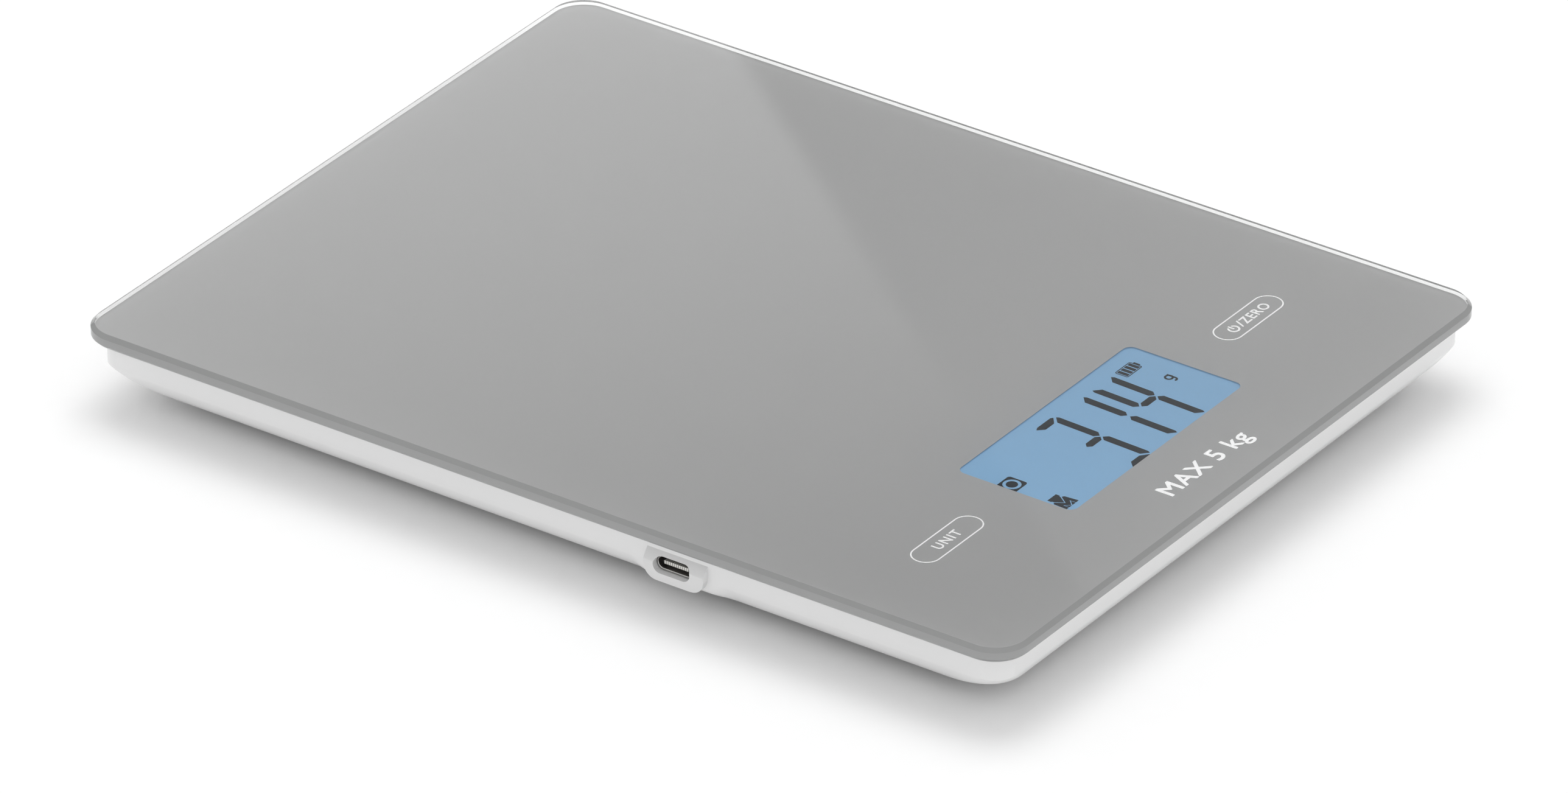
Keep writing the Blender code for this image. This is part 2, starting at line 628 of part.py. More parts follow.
def poly_curve(name, points, radius, material_name):
    """A round wire along points, with flat closed ends."""
    curve = bpy.data.curves.new(name, "CURVE")
    curve.dimensions = "3D"
    curve.bevel_depth = radius
    curve.bevel_resolution = 1
    curve.use_fill_caps = True
    spline = curve.splines.new("POLY")
    spline.points.add(len(points) - 1)
    for target, point in zip(spline.points, points):
        target.co = (*point, 1)
    obj = bpy.data.objects.new(name, curve)
    bpy.data.collections["kitchen_scale"].objects.link(obj)
    curve.materials.append(material(material_name))
    return obj


def build_touch_spring(name, x):
    """A conical coil that carries a touch key's field from the board up to the glass."""
    wire, turns, steps = 0.3 * MM, 3, 12
    low = BOARD_TOP + GAP + wire
    high = GLASS_BOTTOM - GAP - wire
    points = []
    for i in range(turns * steps + 1):
        share = i / (turns * steps)
        angle = 2 * pi * turns * share
        radius = (2.6 + 2.2 * share) * MM
        points.append((x + radius * cos(angle), KEY_Y + radius * sin(angle), low + (high - low) * share))
    poly_curve(name, points, wire, "steel")


def smooth_route(route, spacing):
    """Points along a Catmull-Rom curve through a route's own points."""
    ends = [2 * route[0] - route[1], *route, 2 * route[-1] - route[-2]]
    points = [route[0]]
    for before, start, stop, after in zip(ends, ends[1:], ends[2:], ends[3:]):
        steps = max(1, round((stop - start).length / spacing))
        for i in range(1, steps + 1):
            t = i / steps
            points.append(
                0.5
                * (
                    2 * start
                    + (stop - before) * t
                    + (2 * before - 5 * start + 4 * stop - after) * t**2
                    + (3 * start - before - 3 * stop + after) * t**3
                )
            )
    return points


def build_lead(name, route_mm, radius, material_name, spacing=5 * MM):
    """A lead laid inside the base along hand-chosen points in millimetres."""
    route = [Vector(point) * MM for point in route_mm]
    poly_curve(name, smooth_route(route, spacing), radius, material_name)


def build_leads():
    """Leads from the load cells, the battery and the charging board to the main board's header."""
    header_back = (header_y() + 2.5 * MM + GAP) / MM
    for side, name in ((-1, "left"), (1, "right")):
        front = [
            (side * 58, -78.2, 9.5),
            (side * 50, -74, 9.5),
            (side * 42, -71.5, 9.4),
            (side * 34, -71, 9),
            (side * 24, -64, 8.4),
            (side * 15.9, header_y() / MM, 8.3),
        ]
        build_lead(f"load_cell_lead_front_{name}", front, 0.6 * MM, "wire_grey", 4 * MM)
        rear = [
            (side * 58, 78.2, 9.5),
            (side * 52, 72, 9.5),
            (side * 45, 60, 8),
            (side * 37, 40, 5.8),
            (side * 34, 0, 5.8),
            (side * 32, -30, 5.8),
            (side * 24, -47, 6.6),
            (side * 12, header_back + 4, 7.6),
            (side * 12, header_back, 7.8),
        ]
        build_lead(f"load_cell_lead_rear_{name}", rear, 0.6 * MM, "wire_grey", 7 * MM)
    for side, colour in ((-1, "black"), (1, "red")):
        route = [
            (side * 4, -17.6, 8.2),
            (side * 4, -24, 7.4),
            (side * 7, -38, 6.2),
            (side * 4, header_back + 6, 7.2),
            (side * 3, header_back, 7.8),
        ]
        build_lead(f"battery_lead_{colour}", route, 0.6 * MM, f"wire_{colour}")
    charge = [
        (-65.5, PORT_Y / MM, 9.4),
        (-60, -36, 9.2),
        (-46, -46, 8.2),
        (-26, -50.5, 9),
        (-12.5, -52, 9.4),
        (-7.5, header_back + 3, 8.6),
        (-7.5, header_back, 7.8),
    ]
    build_lead("charge_lead", charge, 0.6 * MM, "wire_red")


def build_battery():
    """A flat lithium pouch cell between the ribs, held by a foam tape."""
    tape = (30 * MM, 44 * MM, 0.6 * MM)
    tape_low = FLOOR + GAP
    centre_y = 8 * MM
    add_piece("battery_tape", block("battery_tape", tape), "foam_tape", (0, centre_y, tape_low + tape[2] / 2))
    cell = (34 * MM, 50 * MM, 5 * MM)
    mesh = block("battery_cell", cell, 1.5 * MM, 2)
    battery_z = tape_low + tape[2] + GAP + cell[2] / 2
    battery = add_piece("battery_cell", mesh, "battery_wrap", (0, centre_y, battery_z))
    rounding = battery.modifiers.new("soft edges", "BEVEL")
    rounding.width = 0.9 * MM
    rounding.segments = 2
    rounding.limit_method = "ANGLE"
    rounding.angle_limit = radians(60)


def main():
    clear_scene()
    new_collection("kitchen_scale")
    new_collection("tools")
    build_glass()
    build_tape()
    build_shell()
    build_charging_port()
    build_display()
    build_battery()
    build_leads()
    for name, x, y in corners():
        build_foot(name, x, y)
        build_load_cell(name, x, y)
        build_holder(name, x, y)


main()
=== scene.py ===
import math

import bmesh
import bpy
import numpy as np
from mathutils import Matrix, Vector


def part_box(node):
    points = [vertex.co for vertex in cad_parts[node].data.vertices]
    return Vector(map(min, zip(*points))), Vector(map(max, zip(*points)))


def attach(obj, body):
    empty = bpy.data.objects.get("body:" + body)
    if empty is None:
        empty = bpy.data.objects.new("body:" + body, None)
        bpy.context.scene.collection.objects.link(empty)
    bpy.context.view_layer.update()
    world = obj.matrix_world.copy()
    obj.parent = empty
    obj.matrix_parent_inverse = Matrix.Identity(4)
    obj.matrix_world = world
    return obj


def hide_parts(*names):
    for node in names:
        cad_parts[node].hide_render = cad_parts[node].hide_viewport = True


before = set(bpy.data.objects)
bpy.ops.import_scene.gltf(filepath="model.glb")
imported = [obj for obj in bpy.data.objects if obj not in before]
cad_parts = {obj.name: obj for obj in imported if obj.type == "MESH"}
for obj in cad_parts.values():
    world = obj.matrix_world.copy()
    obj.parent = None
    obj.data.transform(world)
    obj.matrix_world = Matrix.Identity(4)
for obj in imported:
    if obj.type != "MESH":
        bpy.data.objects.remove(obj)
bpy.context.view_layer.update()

mm = 0.001
mainBody = "scale_body"
glassLow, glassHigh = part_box("glass_platform")
halfWidth, halfDepth = glassHigh.x, glassHigh.y
glassBottom, glassTop = glassLow.z, glassHigh.z
shellLow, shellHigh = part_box("base_shell")
socketLow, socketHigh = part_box("usb_socket_shell")
portY = (socketLow.y + socketHigh.y) / 2
portZ = (socketLow.z + socketHigh.z) / 2
panelLow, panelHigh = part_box("lcd_panel")
windowY = (panelLow.y + panelHigh.y) / 2


def unitVector(azimuth, elevation):
    a, e = math.radians(azimuth), math.radians(elevation)
    return Vector((math.sin(a) * math.cos(e), -math.cos(a) * math.cos(e), math.sin(e)))


# Camera: a long lens at three-quarter view, aimed a little below the middle of the glass
view = {
    "azimuth": -54.996, "elevation": 29.658, "distance": 3.0906, "lens": 347.07,
    "aimRight": 0.00042, "aimDown": 0.01738,
}


def placeCamera():
    camera = bpy.data.objects.new("camera", bpy.data.cameras.new("camera"))
    bpy.context.scene.collection.objects.link(camera)
    back = unitVector(view["azimuth"], view["elevation"])
    right = Vector((0, 0, 1)).cross(back).normalized()
    up = back.cross(right)
    middle = Vector((0, 0, glassTop))
    camera.location = middle + view["distance"] * back
    aim = middle + view["aimRight"] * right - view["aimDown"] * up
    camera.rotation_euler = (aim - camera.location).to_track_quat("-Z", "Y").to_euler()
    camera.data.lens = view["lens"]
    camera.data.clip_end = 20
    bpy.context.scene.camera = camera
    return back, right, up


viewBack, viewRight, viewUp = placeCamera()
bpy.context.scene.view_settings.view_transform = "Standard"
print("stage: camera placed")


def linkNodes(tree, start, end):
    tree.links.new(start, end)


def addNode(tree, kind, settings=None, **inputs):  # a node with its properties and its unlinked inputs set
    node = tree.nodes.new(kind)
    for key, value in (settings or {}).items():
        setattr(node, key, value)
    for key, value in inputs.items():
        node.inputs[key].default_value = value
    return node


def mathNode(tree, operation, first, second=0.0, clamp=False):  # first and second are sockets or numbers
    node = addNode(tree, "ShaderNodeMath", {"operation": operation, "use_clamp": clamp})
    for index, value in enumerate((first, second)):
        if isinstance(value, (int, float)):
            node.inputs[index].default_value = value
        else:
            linkNodes(tree, value, node.inputs[index])
    return node.outputs[0]


def rangeNode(tree, value, low, high, toLow, toHigh):  # value remapped from low..high to toLow..toHigh
    node = addNode(tree, "ShaderNodeMapRange")
    for index, number in zip((1, 2, 3, 4), (low, high, toLow, toHigh)):
        node.inputs[index].default_value = number
    linkNodes(tree, value, node.inputs[0])
    return node.outputs[0]


def mixColours(tree, factor, first, second):
    node = addNode(tree, "ShaderNodeMix", {"data_type": "RGBA"})
    for index, value in ((0, factor), (6, first), (7, second)):
        if isinstance(value, (int, float)):
            node.inputs[index].default_value = value
        elif isinstance(value, tuple):
            node.inputs[index].default_value = (*value, 1)
        else:
            linkNodes(tree, value, node.inputs[index])
    return node.outputs[2]


def objectVector(tree, stretch=(1, 1, 1)):  # place on the piece, in metres, stretched along each axis
    place = addNode(tree, "ShaderNodeTexCoord")
    if stretch == (1, 1, 1):
        return place.outputs["Object"]
    mapping = addNode(tree, "ShaderNodeMapping")
    mapping.inputs["Scale"].default_value = stretch
    linkNodes(tree, place.outputs["Object"], mapping.inputs["Vector"])
    return mapping.outputs["Vector"]


def buildGroup(name, inputs, outputs):
    group = bpy.data.node_groups.new(name, "ShaderNodeTree")
    for socketName, kind, value in inputs:
        socket = group.interface.new_socket(socketName, in_out="INPUT", socket_type=kind)
        if value is not None:
            socket.default_value = value
    for socketName, kind in outputs:
        group.interface.new_socket(socketName, in_out="OUTPUT", socket_type=kind)
    return group, group.nodes.new("NodeGroupInput"), group.nodes.new("NodeGroupOutput")


def buildGrainGroup():  # height = a noise plus a third of a noise four times finer
    group, start, end = buildGroup(
        "mouldGrain",
        [("Vector", "NodeSocketVector", None), ("Scale", "NodeSocketFloat", 900.0)],
        [("Height", "NodeSocketFloat"), ("Fine", "NodeSocketFloat")],
    )
    coarse = addNode(group, "ShaderNodeTexNoise", Detail=2.0, Roughness=0.6)
    fine = addNode(group, "ShaderNodeTexNoise", Detail=1.0)
    for noise in (coarse, fine):
        linkNodes(group, start.outputs["Vector"], noise.inputs["Vector"])
    linkNodes(group, start.outputs["Scale"], coarse.inputs["Scale"])
    linkNodes(group, mathNode(group, "MULTIPLY", start.outputs["Scale"], 4.0), fine.inputs["Scale"])
    fineShare = mathNode(group, "MULTIPLY", fine.outputs["Fac"], 0.33)
    linkNodes(group, mathNode(group, "ADD", coarse.outputs["Fac"], fineShare), end.inputs["Height"])
    linkNodes(group, fine.outputs["Fac"], end.inputs["Fine"])
    return group


def buildWearGroup():  # mask = where a broad noise plus a quarter of a finer one passes a threshold
    group, start, end = buildGroup(
        "handledPatches",
        [
            ("Vector", "NodeSocketVector", None), ("Scale", "NodeSocketFloat", 30.0),
            ("Cover", "NodeSocketFloat", 0.5),
        ],
        [("Mask", "NodeSocketFloat")],
    )
    broad = addNode(group, "ShaderNodeTexNoise", Detail=4.0, Roughness=0.55, Distortion=0.4)
    broken = addNode(group, "ShaderNodeTexNoise", Detail=3.0)
    for noise, factor in ((broad, 1.0), (broken, 9.0)):
        linkNodes(group, start.outputs["Vector"], noise.inputs["Vector"])
        linkNodes(group, mathNode(group, "MULTIPLY", start.outputs["Scale"], factor), noise.inputs["Scale"])
    quarter = mathNode(group, "MULTIPLY", broken.outputs["Fac"], 0.25)
    total = mathNode(group, "ADD", broad.outputs["Fac"], quarter)
    above = mathNode(group, "SUBTRACT", total, start.outputs["Cover"])
    linkNodes(group, mathNode(group, "MULTIPLY", above, 4.0, clamp=True), end.inputs["Mask"])
    return group


grainGroup = buildGrainGroup()
wearGroup = buildWearGroup()


def useGrain(tree, scale, stretch=(1, 1, 1)):
    node = addNode(tree, "ShaderNodeGroup", {"node_tree": grainGroup}, Scale=scale)
    linkNodes(tree, objectVector(tree, stretch), node.inputs["Vector"])
    return node


def useWear(tree, scale, cover):
    node = addNode(tree, "ShaderNodeGroup", {"node_tree": wearGroup}, Scale=scale, Cover=cover)
    linkNodes(tree, objectVector(tree), node.inputs["Vector"])
    return node.outputs["Mask"]


def addBump(tree, shader, height, strength, distance):
    bump = addNode(tree, "ShaderNodeBump", Strength=strength, Distance=distance)
    linkNodes(tree, height, bump.inputs["Height"])
    linkNodes(tree, bump.outputs["Normal"], shader.inputs["Normal"])


def startMaterial(name, **sockets):
    material = bpy.data.materials.new(name)
    material.use_nodes = True
    shader = material.node_tree.nodes["Principled BSDF"]
    for key, value in sockets.items():
        shader.inputs[key.replace("_", " ")].default_value = value
    return material, material.node_tree, shader


def plainFinish(
    name, colour, rough, grain=900.0, bump=0.25, depth=0.02 * mm, shade=0.06, stretch=(1, 1, 1), **sockets
):
    # colour darkened a little in patches, roughness spread by them, and a moulded grain as bump
    material, tree, shader = startMaterial(name, **sockets)
    patches = useWear(tree, 45.0, 0.52)
    darker = tuple(c * (1 - shade) for c in colour)
    linkNodes(tree, mixColours(tree, patches, colour, darker), shader.inputs["Base Color"])
    texture = useGrain(tree, grain, stretch)
    spread = mathNode(tree, "MULTIPLY", texture.outputs["Fine"], 0.5)
    linkNodes(
        tree,
        rangeNode(tree, mathNode(tree, "ADD", patches, spread), 0.0, 1.5, rough * 0.85, rough * 1.2),
        shader.inputs["Roughness"],
    )
    addBump(tree, shader, texture.outputs["Height"], bump, depth)
    return material


glassTintAndEdgeShade = {  # what each kind of face lets in from outside: flat, upper chamfer, side and under chamfer, the last three darkened as painted shade
    "flat": (0.985, 0.99, 0.987), "upper": (0.5, 0.505, 0.505),
    "side": (0.62, 0.63, 0.63), "under": (0.12, 0.12, 0.12),
}


def glassFinish():
    # clear float glass: fire-polished flats, and wheel-ground chamfers and sides whose colour is darkened as
    # painted shade, darkest on the under chamfer; faces seen from inside stay clear
    material, tree, shader = startMaterial("floatGlass", Transmission_Weight=1.0, IOR=1.52)
    place = addNode(tree, "ShaderNodeTexCoord")
    split = addNode(tree, "ShaderNodeSeparateXYZ")
    linkNodes(tree, place.outputs["Normal"], split.inputs[0])
    upward = split.outputs[2]
    flat = mathNode(tree, "GREATER_THAN", mathNode(tree, "ABSOLUTE", upward), 0.95)
    rising = mathNode(tree, "GREATER_THAN", upward, 0.3)
    # painted shade: the chamfers and side take a darker colour by the way they face
    edgeShade = mixColours(tree, rising, glassTintAndEdgeShade["side"], glassTintAndEdgeShade["upper"])
    edgeShade = mixColours(tree, mathNode(tree, "LESS_THAN", upward, -0.3), edgeShade, glassTintAndEdgeShade["under"])
    inside = addNode(tree, "ShaderNodeNewGeometry").outputs["Backfacing"]
    clear = mathNode(tree, "MAXIMUM", flat, inside)
    linkNodes(tree, mixColours(tree, clear, edgeShade, glassTintAndEdgeShade["flat"]), shader.inputs["Base Color"])
    smudges = rangeNode(tree, useWear(tree, 24.0, 0.62), 0.0, 1.0, 0.012, 0.03)
    ground = rangeNode(tree, useGrain(tree, 2500.0).outputs["Height"], 0.3, 1.0, 0.03, 0.07)
    rough = addNode(tree, "ShaderNodeMix")
    for index, socket in ((0, flat), (2, ground), (3, smudges)):
        linkNodes(tree, socket, rough.inputs[index])
    linkNodes(tree, rough.outputs[0], shader.inputs["Roughness"])
    return material


housing = {
    "colour": (0.91, 0.91, 0.91), "rough": 0.3, "coat": 0.5,
    "portColour": (0.83, 0.83, 0.83), "portRough": 0.62,
}
portShape = {
    "half": 7.35 * mm, "top": 13.2 * mm, "fold": 11 * mm, "low": 6.9 * mm, "corner": 3.2 * mm,
    "proud": 1.6 * mm,
    "shift": -0.5 * mm, "pocket": 2.7 * mm, "slot": (9.0 * mm, 3.5 * mm), "seat": (9.54 * mm, 3.76 * mm),
    "pocketSize": (10.14 * mm, 4.36 * mm),
}
bossY = portY + portShape["shift"]
wallInset = halfWidth + shellLow.x + portShape["proud"]
wallFace = -halfWidth + wallInset


def housingFinish():
    # satin white, with a spark-eroded grain where the port's face stands proud of the wall
    material, tree, shader = startMaterial("housingWhite", Coat_Roughness=0.12)
    place = addNode(tree, "ShaderNodeTexCoord")
    split = addNode(tree, "ShaderNodeSeparateXYZ")
    linkNodes(tree, place.outputs["Object"], split.inputs[0])
    offset = mathNode(tree, "SUBTRACT", split.outputs[1], bossY)
    fromMiddle = mathNode(tree, "ABSOLUTE", offset)
    beside = mathNode(tree, "LESS_THAN", fromMiddle, portShape["half"] - 0.02 * mm)
    proud = mathNode(tree, "LESS_THAN", split.outputs[0], wallFace - 0.02 * mm)
    mask = mathNode(tree, "MULTIPLY", beside, proud)
    patches = useWear(tree, 9.0, 0.6)
    satin = mixColours(tree, patches, housing["colour"], tuple(c * 0.995 for c in housing["colour"]))
    linkNodes(tree, mixColours(tree, mask, satin, housing["portColour"]), shader.inputs["Base Color"])
    satinRough = rangeNode(tree, patches, 0.0, 1.0, housing["rough"] * 0.97, housing["rough"] * 1.04)
    rough = addNode(tree, "ShaderNodeMix")
    linkNodes(tree, mask, rough.inputs[0])
    linkNodes(tree, satinRough, rough.inputs[2])
    rough.inputs[3].default_value = housing["portRough"]
    linkNodes(tree, rough.outputs[0], shader.inputs["Roughness"])
    linkNodes(tree, rangeNode(tree, mask, 0.0, 1.0, housing["coat"], 0.0), shader.inputs["Coat Weight"])
    eroded = useGrain(tree, 3200.0).outputs["Height"]
    faint = mathNode(tree, "MULTIPLY", useGrain(tree, 1500.0).outputs["Height"], 0.06)
    depth = addNode(tree, "ShaderNodeMix")
    for index, socket in ((0, mask), (2, faint), (3, eroded)):
        linkNodes(tree, socket, depth.inputs[index])
    addBump(tree, shader, depth.outputs[0], 0.4, 0.02 * mm)
    return material


printValues = {
    "grey": (0.6, 0.6, 0.601), "white": (0.95, 0.95, 0.95), "whitePaintedGlow": 0.42, "mottle": 0.992,
    "thickness": 0.06 * mm,
}


def inkFinish(name, colour, glow=0.0):
    # screen-printed ink in contact with the glass: no gloss of its own, with a faint mottle of the mesh, and
    # a painted glow of white emission where glow is given
    material, tree, shader = startMaterial(
        name, Roughness=0.8, Specular_IOR_Level=0.0, Emission_Color=(1, 1, 1, 1), Emission_Strength=glow
    )
    mottle = rangeNode(tree, useGrain(tree, 700.0).outputs["Height"], 0.3, 1.0, 0.0, 1.0)
    darker = tuple(c * printValues["mottle"] for c in colour)
    linkNodes(tree, mixColours(tree, mottle, colour, darker), shader.inputs["Base Color"])
    return material


def brushedFinish(name, colour, rough, along=(1, 40, 40)):  # a grain forty times finer across than along
    return plainFinish(
        name, colour, rough, grain=160.0, bump=0.12, depth=0.01 * mm, shade=0.12, stretch=along, Metallic=1.0
    )


def boardFinish():
    # solder mask over copper: traces are the edges of stretched cells, and vias are small tinned dots
    material, tree, shader = startMaterial("solderMask", Coat_Weight=0.4, Coat_Roughness=0.15)
    edges = {"feature": "DISTANCE_TO_EDGE", "voronoi_dimensions": "2D"}
    cells = addNode(tree, "ShaderNodeTexVoronoi", edges, Scale=1.0)
    linkNodes(tree, objectVector(tree, (260, 420, 1)), cells.inputs["Vector"])
    traces = mathNode(tree, "LESS_THAN", cells.outputs["Distance"], 0.09)
    dots = addNode(tree, "ShaderNodeTexVoronoi", {"voronoi_dimensions": "2D"}, Scale=1.0)
    dots.inputs["Randomness"].default_value = 0.7
    linkNodes(tree, objectVector(tree, (240, 240, 1)), dots.inputs["Vector"])
    vias = mathNode(tree, "LESS_THAN", dots.outputs["Distance"], 0.11)
    mask = mixColours(tree, traces, (0.012, 0.12, 0.05), (0.03, 0.22, 0.09))
    linkNodes(tree, mixColours(tree, vias, mask, (0.62, 0.6, 0.52)), shader.inputs["Base Color"])
    linkNodes(tree, vias, shader.inputs["Metallic"])
    linkNodes(tree, rangeNode(tree, vias, 0.0, 1.0, 0.38, 0.25), shader.inputs["Roughness"])
    addBump(tree, shader, mathNode(tree, "ADD", traces, vias), 0.5, 0.03 * mm)
    return material


lcdValues = {"blue": (0.25, 0.455, 0.685), "glowShare": 0.26, "farEnd": 0.92, "ink": (0.02, 0.024, 0.03)}


def lcdFinish():
    # a backlit blue field, a little brighter towards the light guide's lamps, under a satin polariser
    material, tree, shader = startMaterial(
        "lcdBlue", Roughness=0.5, Specular_IOR_Level=0.15, Emission_Strength=1.0
    )
    place = addNode(tree, "ShaderNodeSeparateXYZ")
    linkNodes(tree, objectVector(tree), place.inputs[0])
    across = rangeNode(tree, place.outputs[0], panelLow.x, panelHigh.x, 1.0, lcdValues["farEnd"])
    grain = rangeNode(tree, useGrain(tree, 1800.0).outputs["Height"], 0.3, 1.0, 0.98, 1.02)
    level = mathNode(tree, "MULTIPLY", across, grain)
    linkNodes(tree, mixColours(tree, level, (0, 0, 0), lcdValues["blue"]), shader.inputs["Base Color"])
    glow = tuple(c * lcdValues["glowShare"] for c in lcdValues["blue"])
    linkNodes(tree, mixColours(tree, level, (0, 0, 0), glow), shader.inputs["Emission Color"])
    return material


finish = {
    "glass": glassFinish(),
    "housing": housingFinish(),
    "greyInk": inkFinish("greyPrint", printValues["grey"]),
    # painted glow: the white ink emits a little light to look brighter under the glass
    "whiteInk": inkFinish("whitePrint", printValues["white"], printValues["whitePaintedGlow"]),
    "lcd": lcdFinish(),
    "lcdInk": plainFinish("segmentInk", lcdValues["ink"], 0.6, shade=0.02, Specular_IOR_Level=0.1),
    "tape": plainFinish("foamTape", (0.03, 0.03, 0.032), 0.9, grain=1400.0, bump=0.9, depth=0.08 * mm),
    "steel": brushedFinish("springSteel", (0.62, 0.61, 0.6), 0.28),
    "socketSteel": brushedFinish("socketSteel", (0.66, 0.65, 0.63), 0.3, (40, 1, 1)),
    "contacts": plainFinish("tinnedContacts", (0.85, 0.84, 0.8), 0.4, shade=0.1, Metallic=0.6),
    "chip": plainFinish("mouldingCompound", (0.022, 0.022, 0.024), 0.55, grain=2200.0, bump=0.5),
    "board": boardFinish(),
    "guide": plainFinish(
        "lightGuide", (0.8, 0.87, 0.93), 0.25, shade=0.02, Subsurface_Weight=0.3, Subsurface_Scale=0.002
    ),
    "frame": plainFinish("whiteMoulding", (0.72, 0.72, 0.7), 0.45, bump=0.3),
    "coat": plainFinish("gaugeCoating", (0.78, 0.74, 0.62), 0.5, grain=500.0, bump=0.6, depth=0.06 * mm),
    "foot": plainFinish("footMoulding", (0.55, 0.55, 0.56), 0.48, bump=0.4),
    "rubber": plainFinish("footRubber", (0.16, 0.16, 0.165), 0.82, grain=1600.0, bump=0.7, depth=0.04 * mm),
    "foil": plainFinish(
        "pouchFoil", (0.6, 0.61, 0.63), 0.32, grain=140.0, bump=0.5, depth=0.12 * mm, Metallic=0.75
    ),
    "red": plainFinish("redJacket", (0.45, 0.015, 0.012), 0.42),
    "black": plainFinish("blackJacket", (0.015, 0.015, 0.016), 0.42),
    "grey": plainFinish("greyJacket", (0.28, 0.28, 0.3), 0.42),
}
print("stage: finishes mixed")


def addPiece(name, mesh, material, body=mainBody, replaces=()):
    piece = bpy.data.objects.new(name, mesh)
    bpy.context.scene.collection.objects.link(piece)
    mesh.materials.clear()
    mesh.materials.append(finish[material])
    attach(piece, body)
    if replaces:
        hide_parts(*replaces)
    return piece


def meshFromArrays(name, points, faces):
    mesh = bpy.data.meshes.new(name)
    mesh.from_pydata(np.asarray(points, dtype=float).tolist(), [], faces)
    mesh.validate()
    work = bmesh.new()
    work.from_mesh(mesh)
    bmesh.ops.recalc_face_normals(work, faces=work.faces[:])
    work.to_mesh(mesh)
    work.free()
    return mesh


def smoothShade(mesh, degrees=30):
    mesh.shade_smooth()
    mesh.set_sharp_from_angle(angle=math.radians(degrees))
    return mesh


def stackMesh(name, loops, ring=False, degrees=30):
    # a solid through stacked loops of equal length: quads between neighbours, flat caps, or a closed ring
    loops = np.asarray(loops, dtype=float)
    layers, count = loops.shape[:2]
    last = layers if ring else layers - 1
    level, column = np.meshgrid(np.arange(last), np.arange(count), indexing="ij")
    above, after = (level + 1) % layers, (column + 1) % count
    corners = (level * count + column, level * count + after, above * count + after, above * count + column)
    faces = np.stack(corners, axis=-1).reshape(-1, 4).tolist()
    if not ring:
        faces += [list(range(count))[::-1], [(layers - 1) * count + i for i in range(count)]]
    return smoothShade(meshFromArrays(name, loops.reshape(-1, 3), faces), degrees)


def roundedLoop(halfX, halfY, corner, height, centre=(0, 0), steps=12, leftStops=()):
    # a rounded rectangle: four quarter circles, with extra points where the left side needs them
    turn = np.linspace(0, math.pi / 2, steps + 1)
    parts = []
    for quarter, (signX, signY) in enumerate(((1, 1), (-1, 1), (-1, -1), (1, -1))):
        angle = turn + quarter * math.pi / 2
        x = signX * (halfX - corner) + corner * np.cos(angle)
        y = signY * (halfY - corner) + corner * np.sin(angle)
        parts.append(np.stack((x, y), axis=-1))
        if quarter == 1 and len(leftStops):
            parts.append(np.stack((np.full(len(leftStops), -halfX), np.asarray(leftStops)), axis=-1))
    flat = np.concatenate(parts) + np.asarray(centre)
    return np.column_stack((flat, np.full(len(flat), height)))


def insetLoop(inset, corner, height, **more):
    return roundedLoop(halfWidth - inset, halfDepth - inset, corner, height, **more)


def latheMesh(name, profile, centre, steps=64, degrees=35):
    # a profile of radius and height carried round an upright axis, closed at both ends
    profile = np.asarray(profile, dtype=float)
    turn = np.linspace(0, 2 * math.pi, steps, endpoint=False)
    radius = np.maximum(profile[:, 0], 0.05 * mm)[:, None]
    x = centre[0] + radius * np.cos(turn)
    y = centre[1] + radius * np.sin(turn)
    z = np.broadcast_to(profile[:, 1][:, None], x.shape)
    return stackMesh(name, np.stack((x, y, z), axis=-1), degrees=degrees)


def roundedProfile(points, radius, steps=5):
    # each corner of a radius-height line is swapped for a quadratic curve between points a radius away
    points = np.asarray(points, dtype=float)
    result = [points[0]]
    t = np.linspace(0, 1, steps)[:, None]
    for before, corner, after in zip(points, points[1:], points[2:]):
        reach = [min(radius, np.linalg.norm(end - corner) * 0.45) for end in (before, after)]
        start = corner + (before - corner) / np.linalg.norm(before - corner) * reach[0]
        stop = corner + (after - corner) / np.linalg.norm(after - corner) * reach[1]
        result.extend((1 - t) ** 2 * start + 2 * t * (1 - t) * corner + t**2 * stop)
    result.append(points[-1])
    return np.asarray(result)


def applyBoolean(piece, mesh, operation):
    tool = bpy.data.objects.new("tool", mesh)
    bpy.context.scene.collection.objects.link(tool)
    modifier = piece.modifiers.new(operation.lower(), "BOOLEAN")
    modifier.operation = operation
    modifier.object = tool
    modifier.solver = "EXACT"
    modifier.use_self = True
    graph = bpy.context.evaluated_depsgraph_get()
    result = bpy.data.meshes.new_from_object(piece.evaluated_get(graph))
    piece.modifiers.clear()
    old = piece.data
    piece.data = result
    bpy.data.meshes.remove(old)
    bpy.data.objects.remove(tool)


def joinMeshes(name, meshes):
    work = bmesh.new()
    for mesh in meshes:
        work.from_mesh(mesh)
        bpy.data.meshes.remove(mesh)
    joined = bpy.data.meshes.new(name)
    work.to_mesh(joined)
    work.free()
    return joined


glassValues = {"corner": 8 * mm, "underChamfer": 0.7 * mm, "upperChamfer": 0.85 * mm, "arris": 0.06 * mm}


def makeGlass():  # rounded rectangles stacked as under chamfer, side and upper chamfer, with eased edges
    under, upper, corner = (glassValues[key] for key in ("underChamfer", "upperChamfer", "corner"))
    levels = ((under, glassBottom), (0, glassBottom + under), (0, glassTop - upper), (upper, glassTop))
    loops = [insetLoop(inset, corner - inset, height, steps=20) for inset, height in levels]
    mesh = stackMesh("glassSlab", loops)
    slab = addPiece("glassSlab", mesh, "glass", replaces=["glass_platform"])
    ease = slab.modifiers.new("easedArris", "BEVEL")
    ease.width = glassValues["arris"]
    ease.segments = 2
    ease.limit_method = "ANGLE"
    ease.angle_limit = math.radians(30)
    ease.harden_normals = True


windowShape = {"halfX": 31.0 * mm, "halfY": 14.12 * mm, "corner": 1.9 * mm, "y": -78.6 * mm}
contact = 0.012 * mm  # the ink's face stands this far into the glass, so that no air shows between them


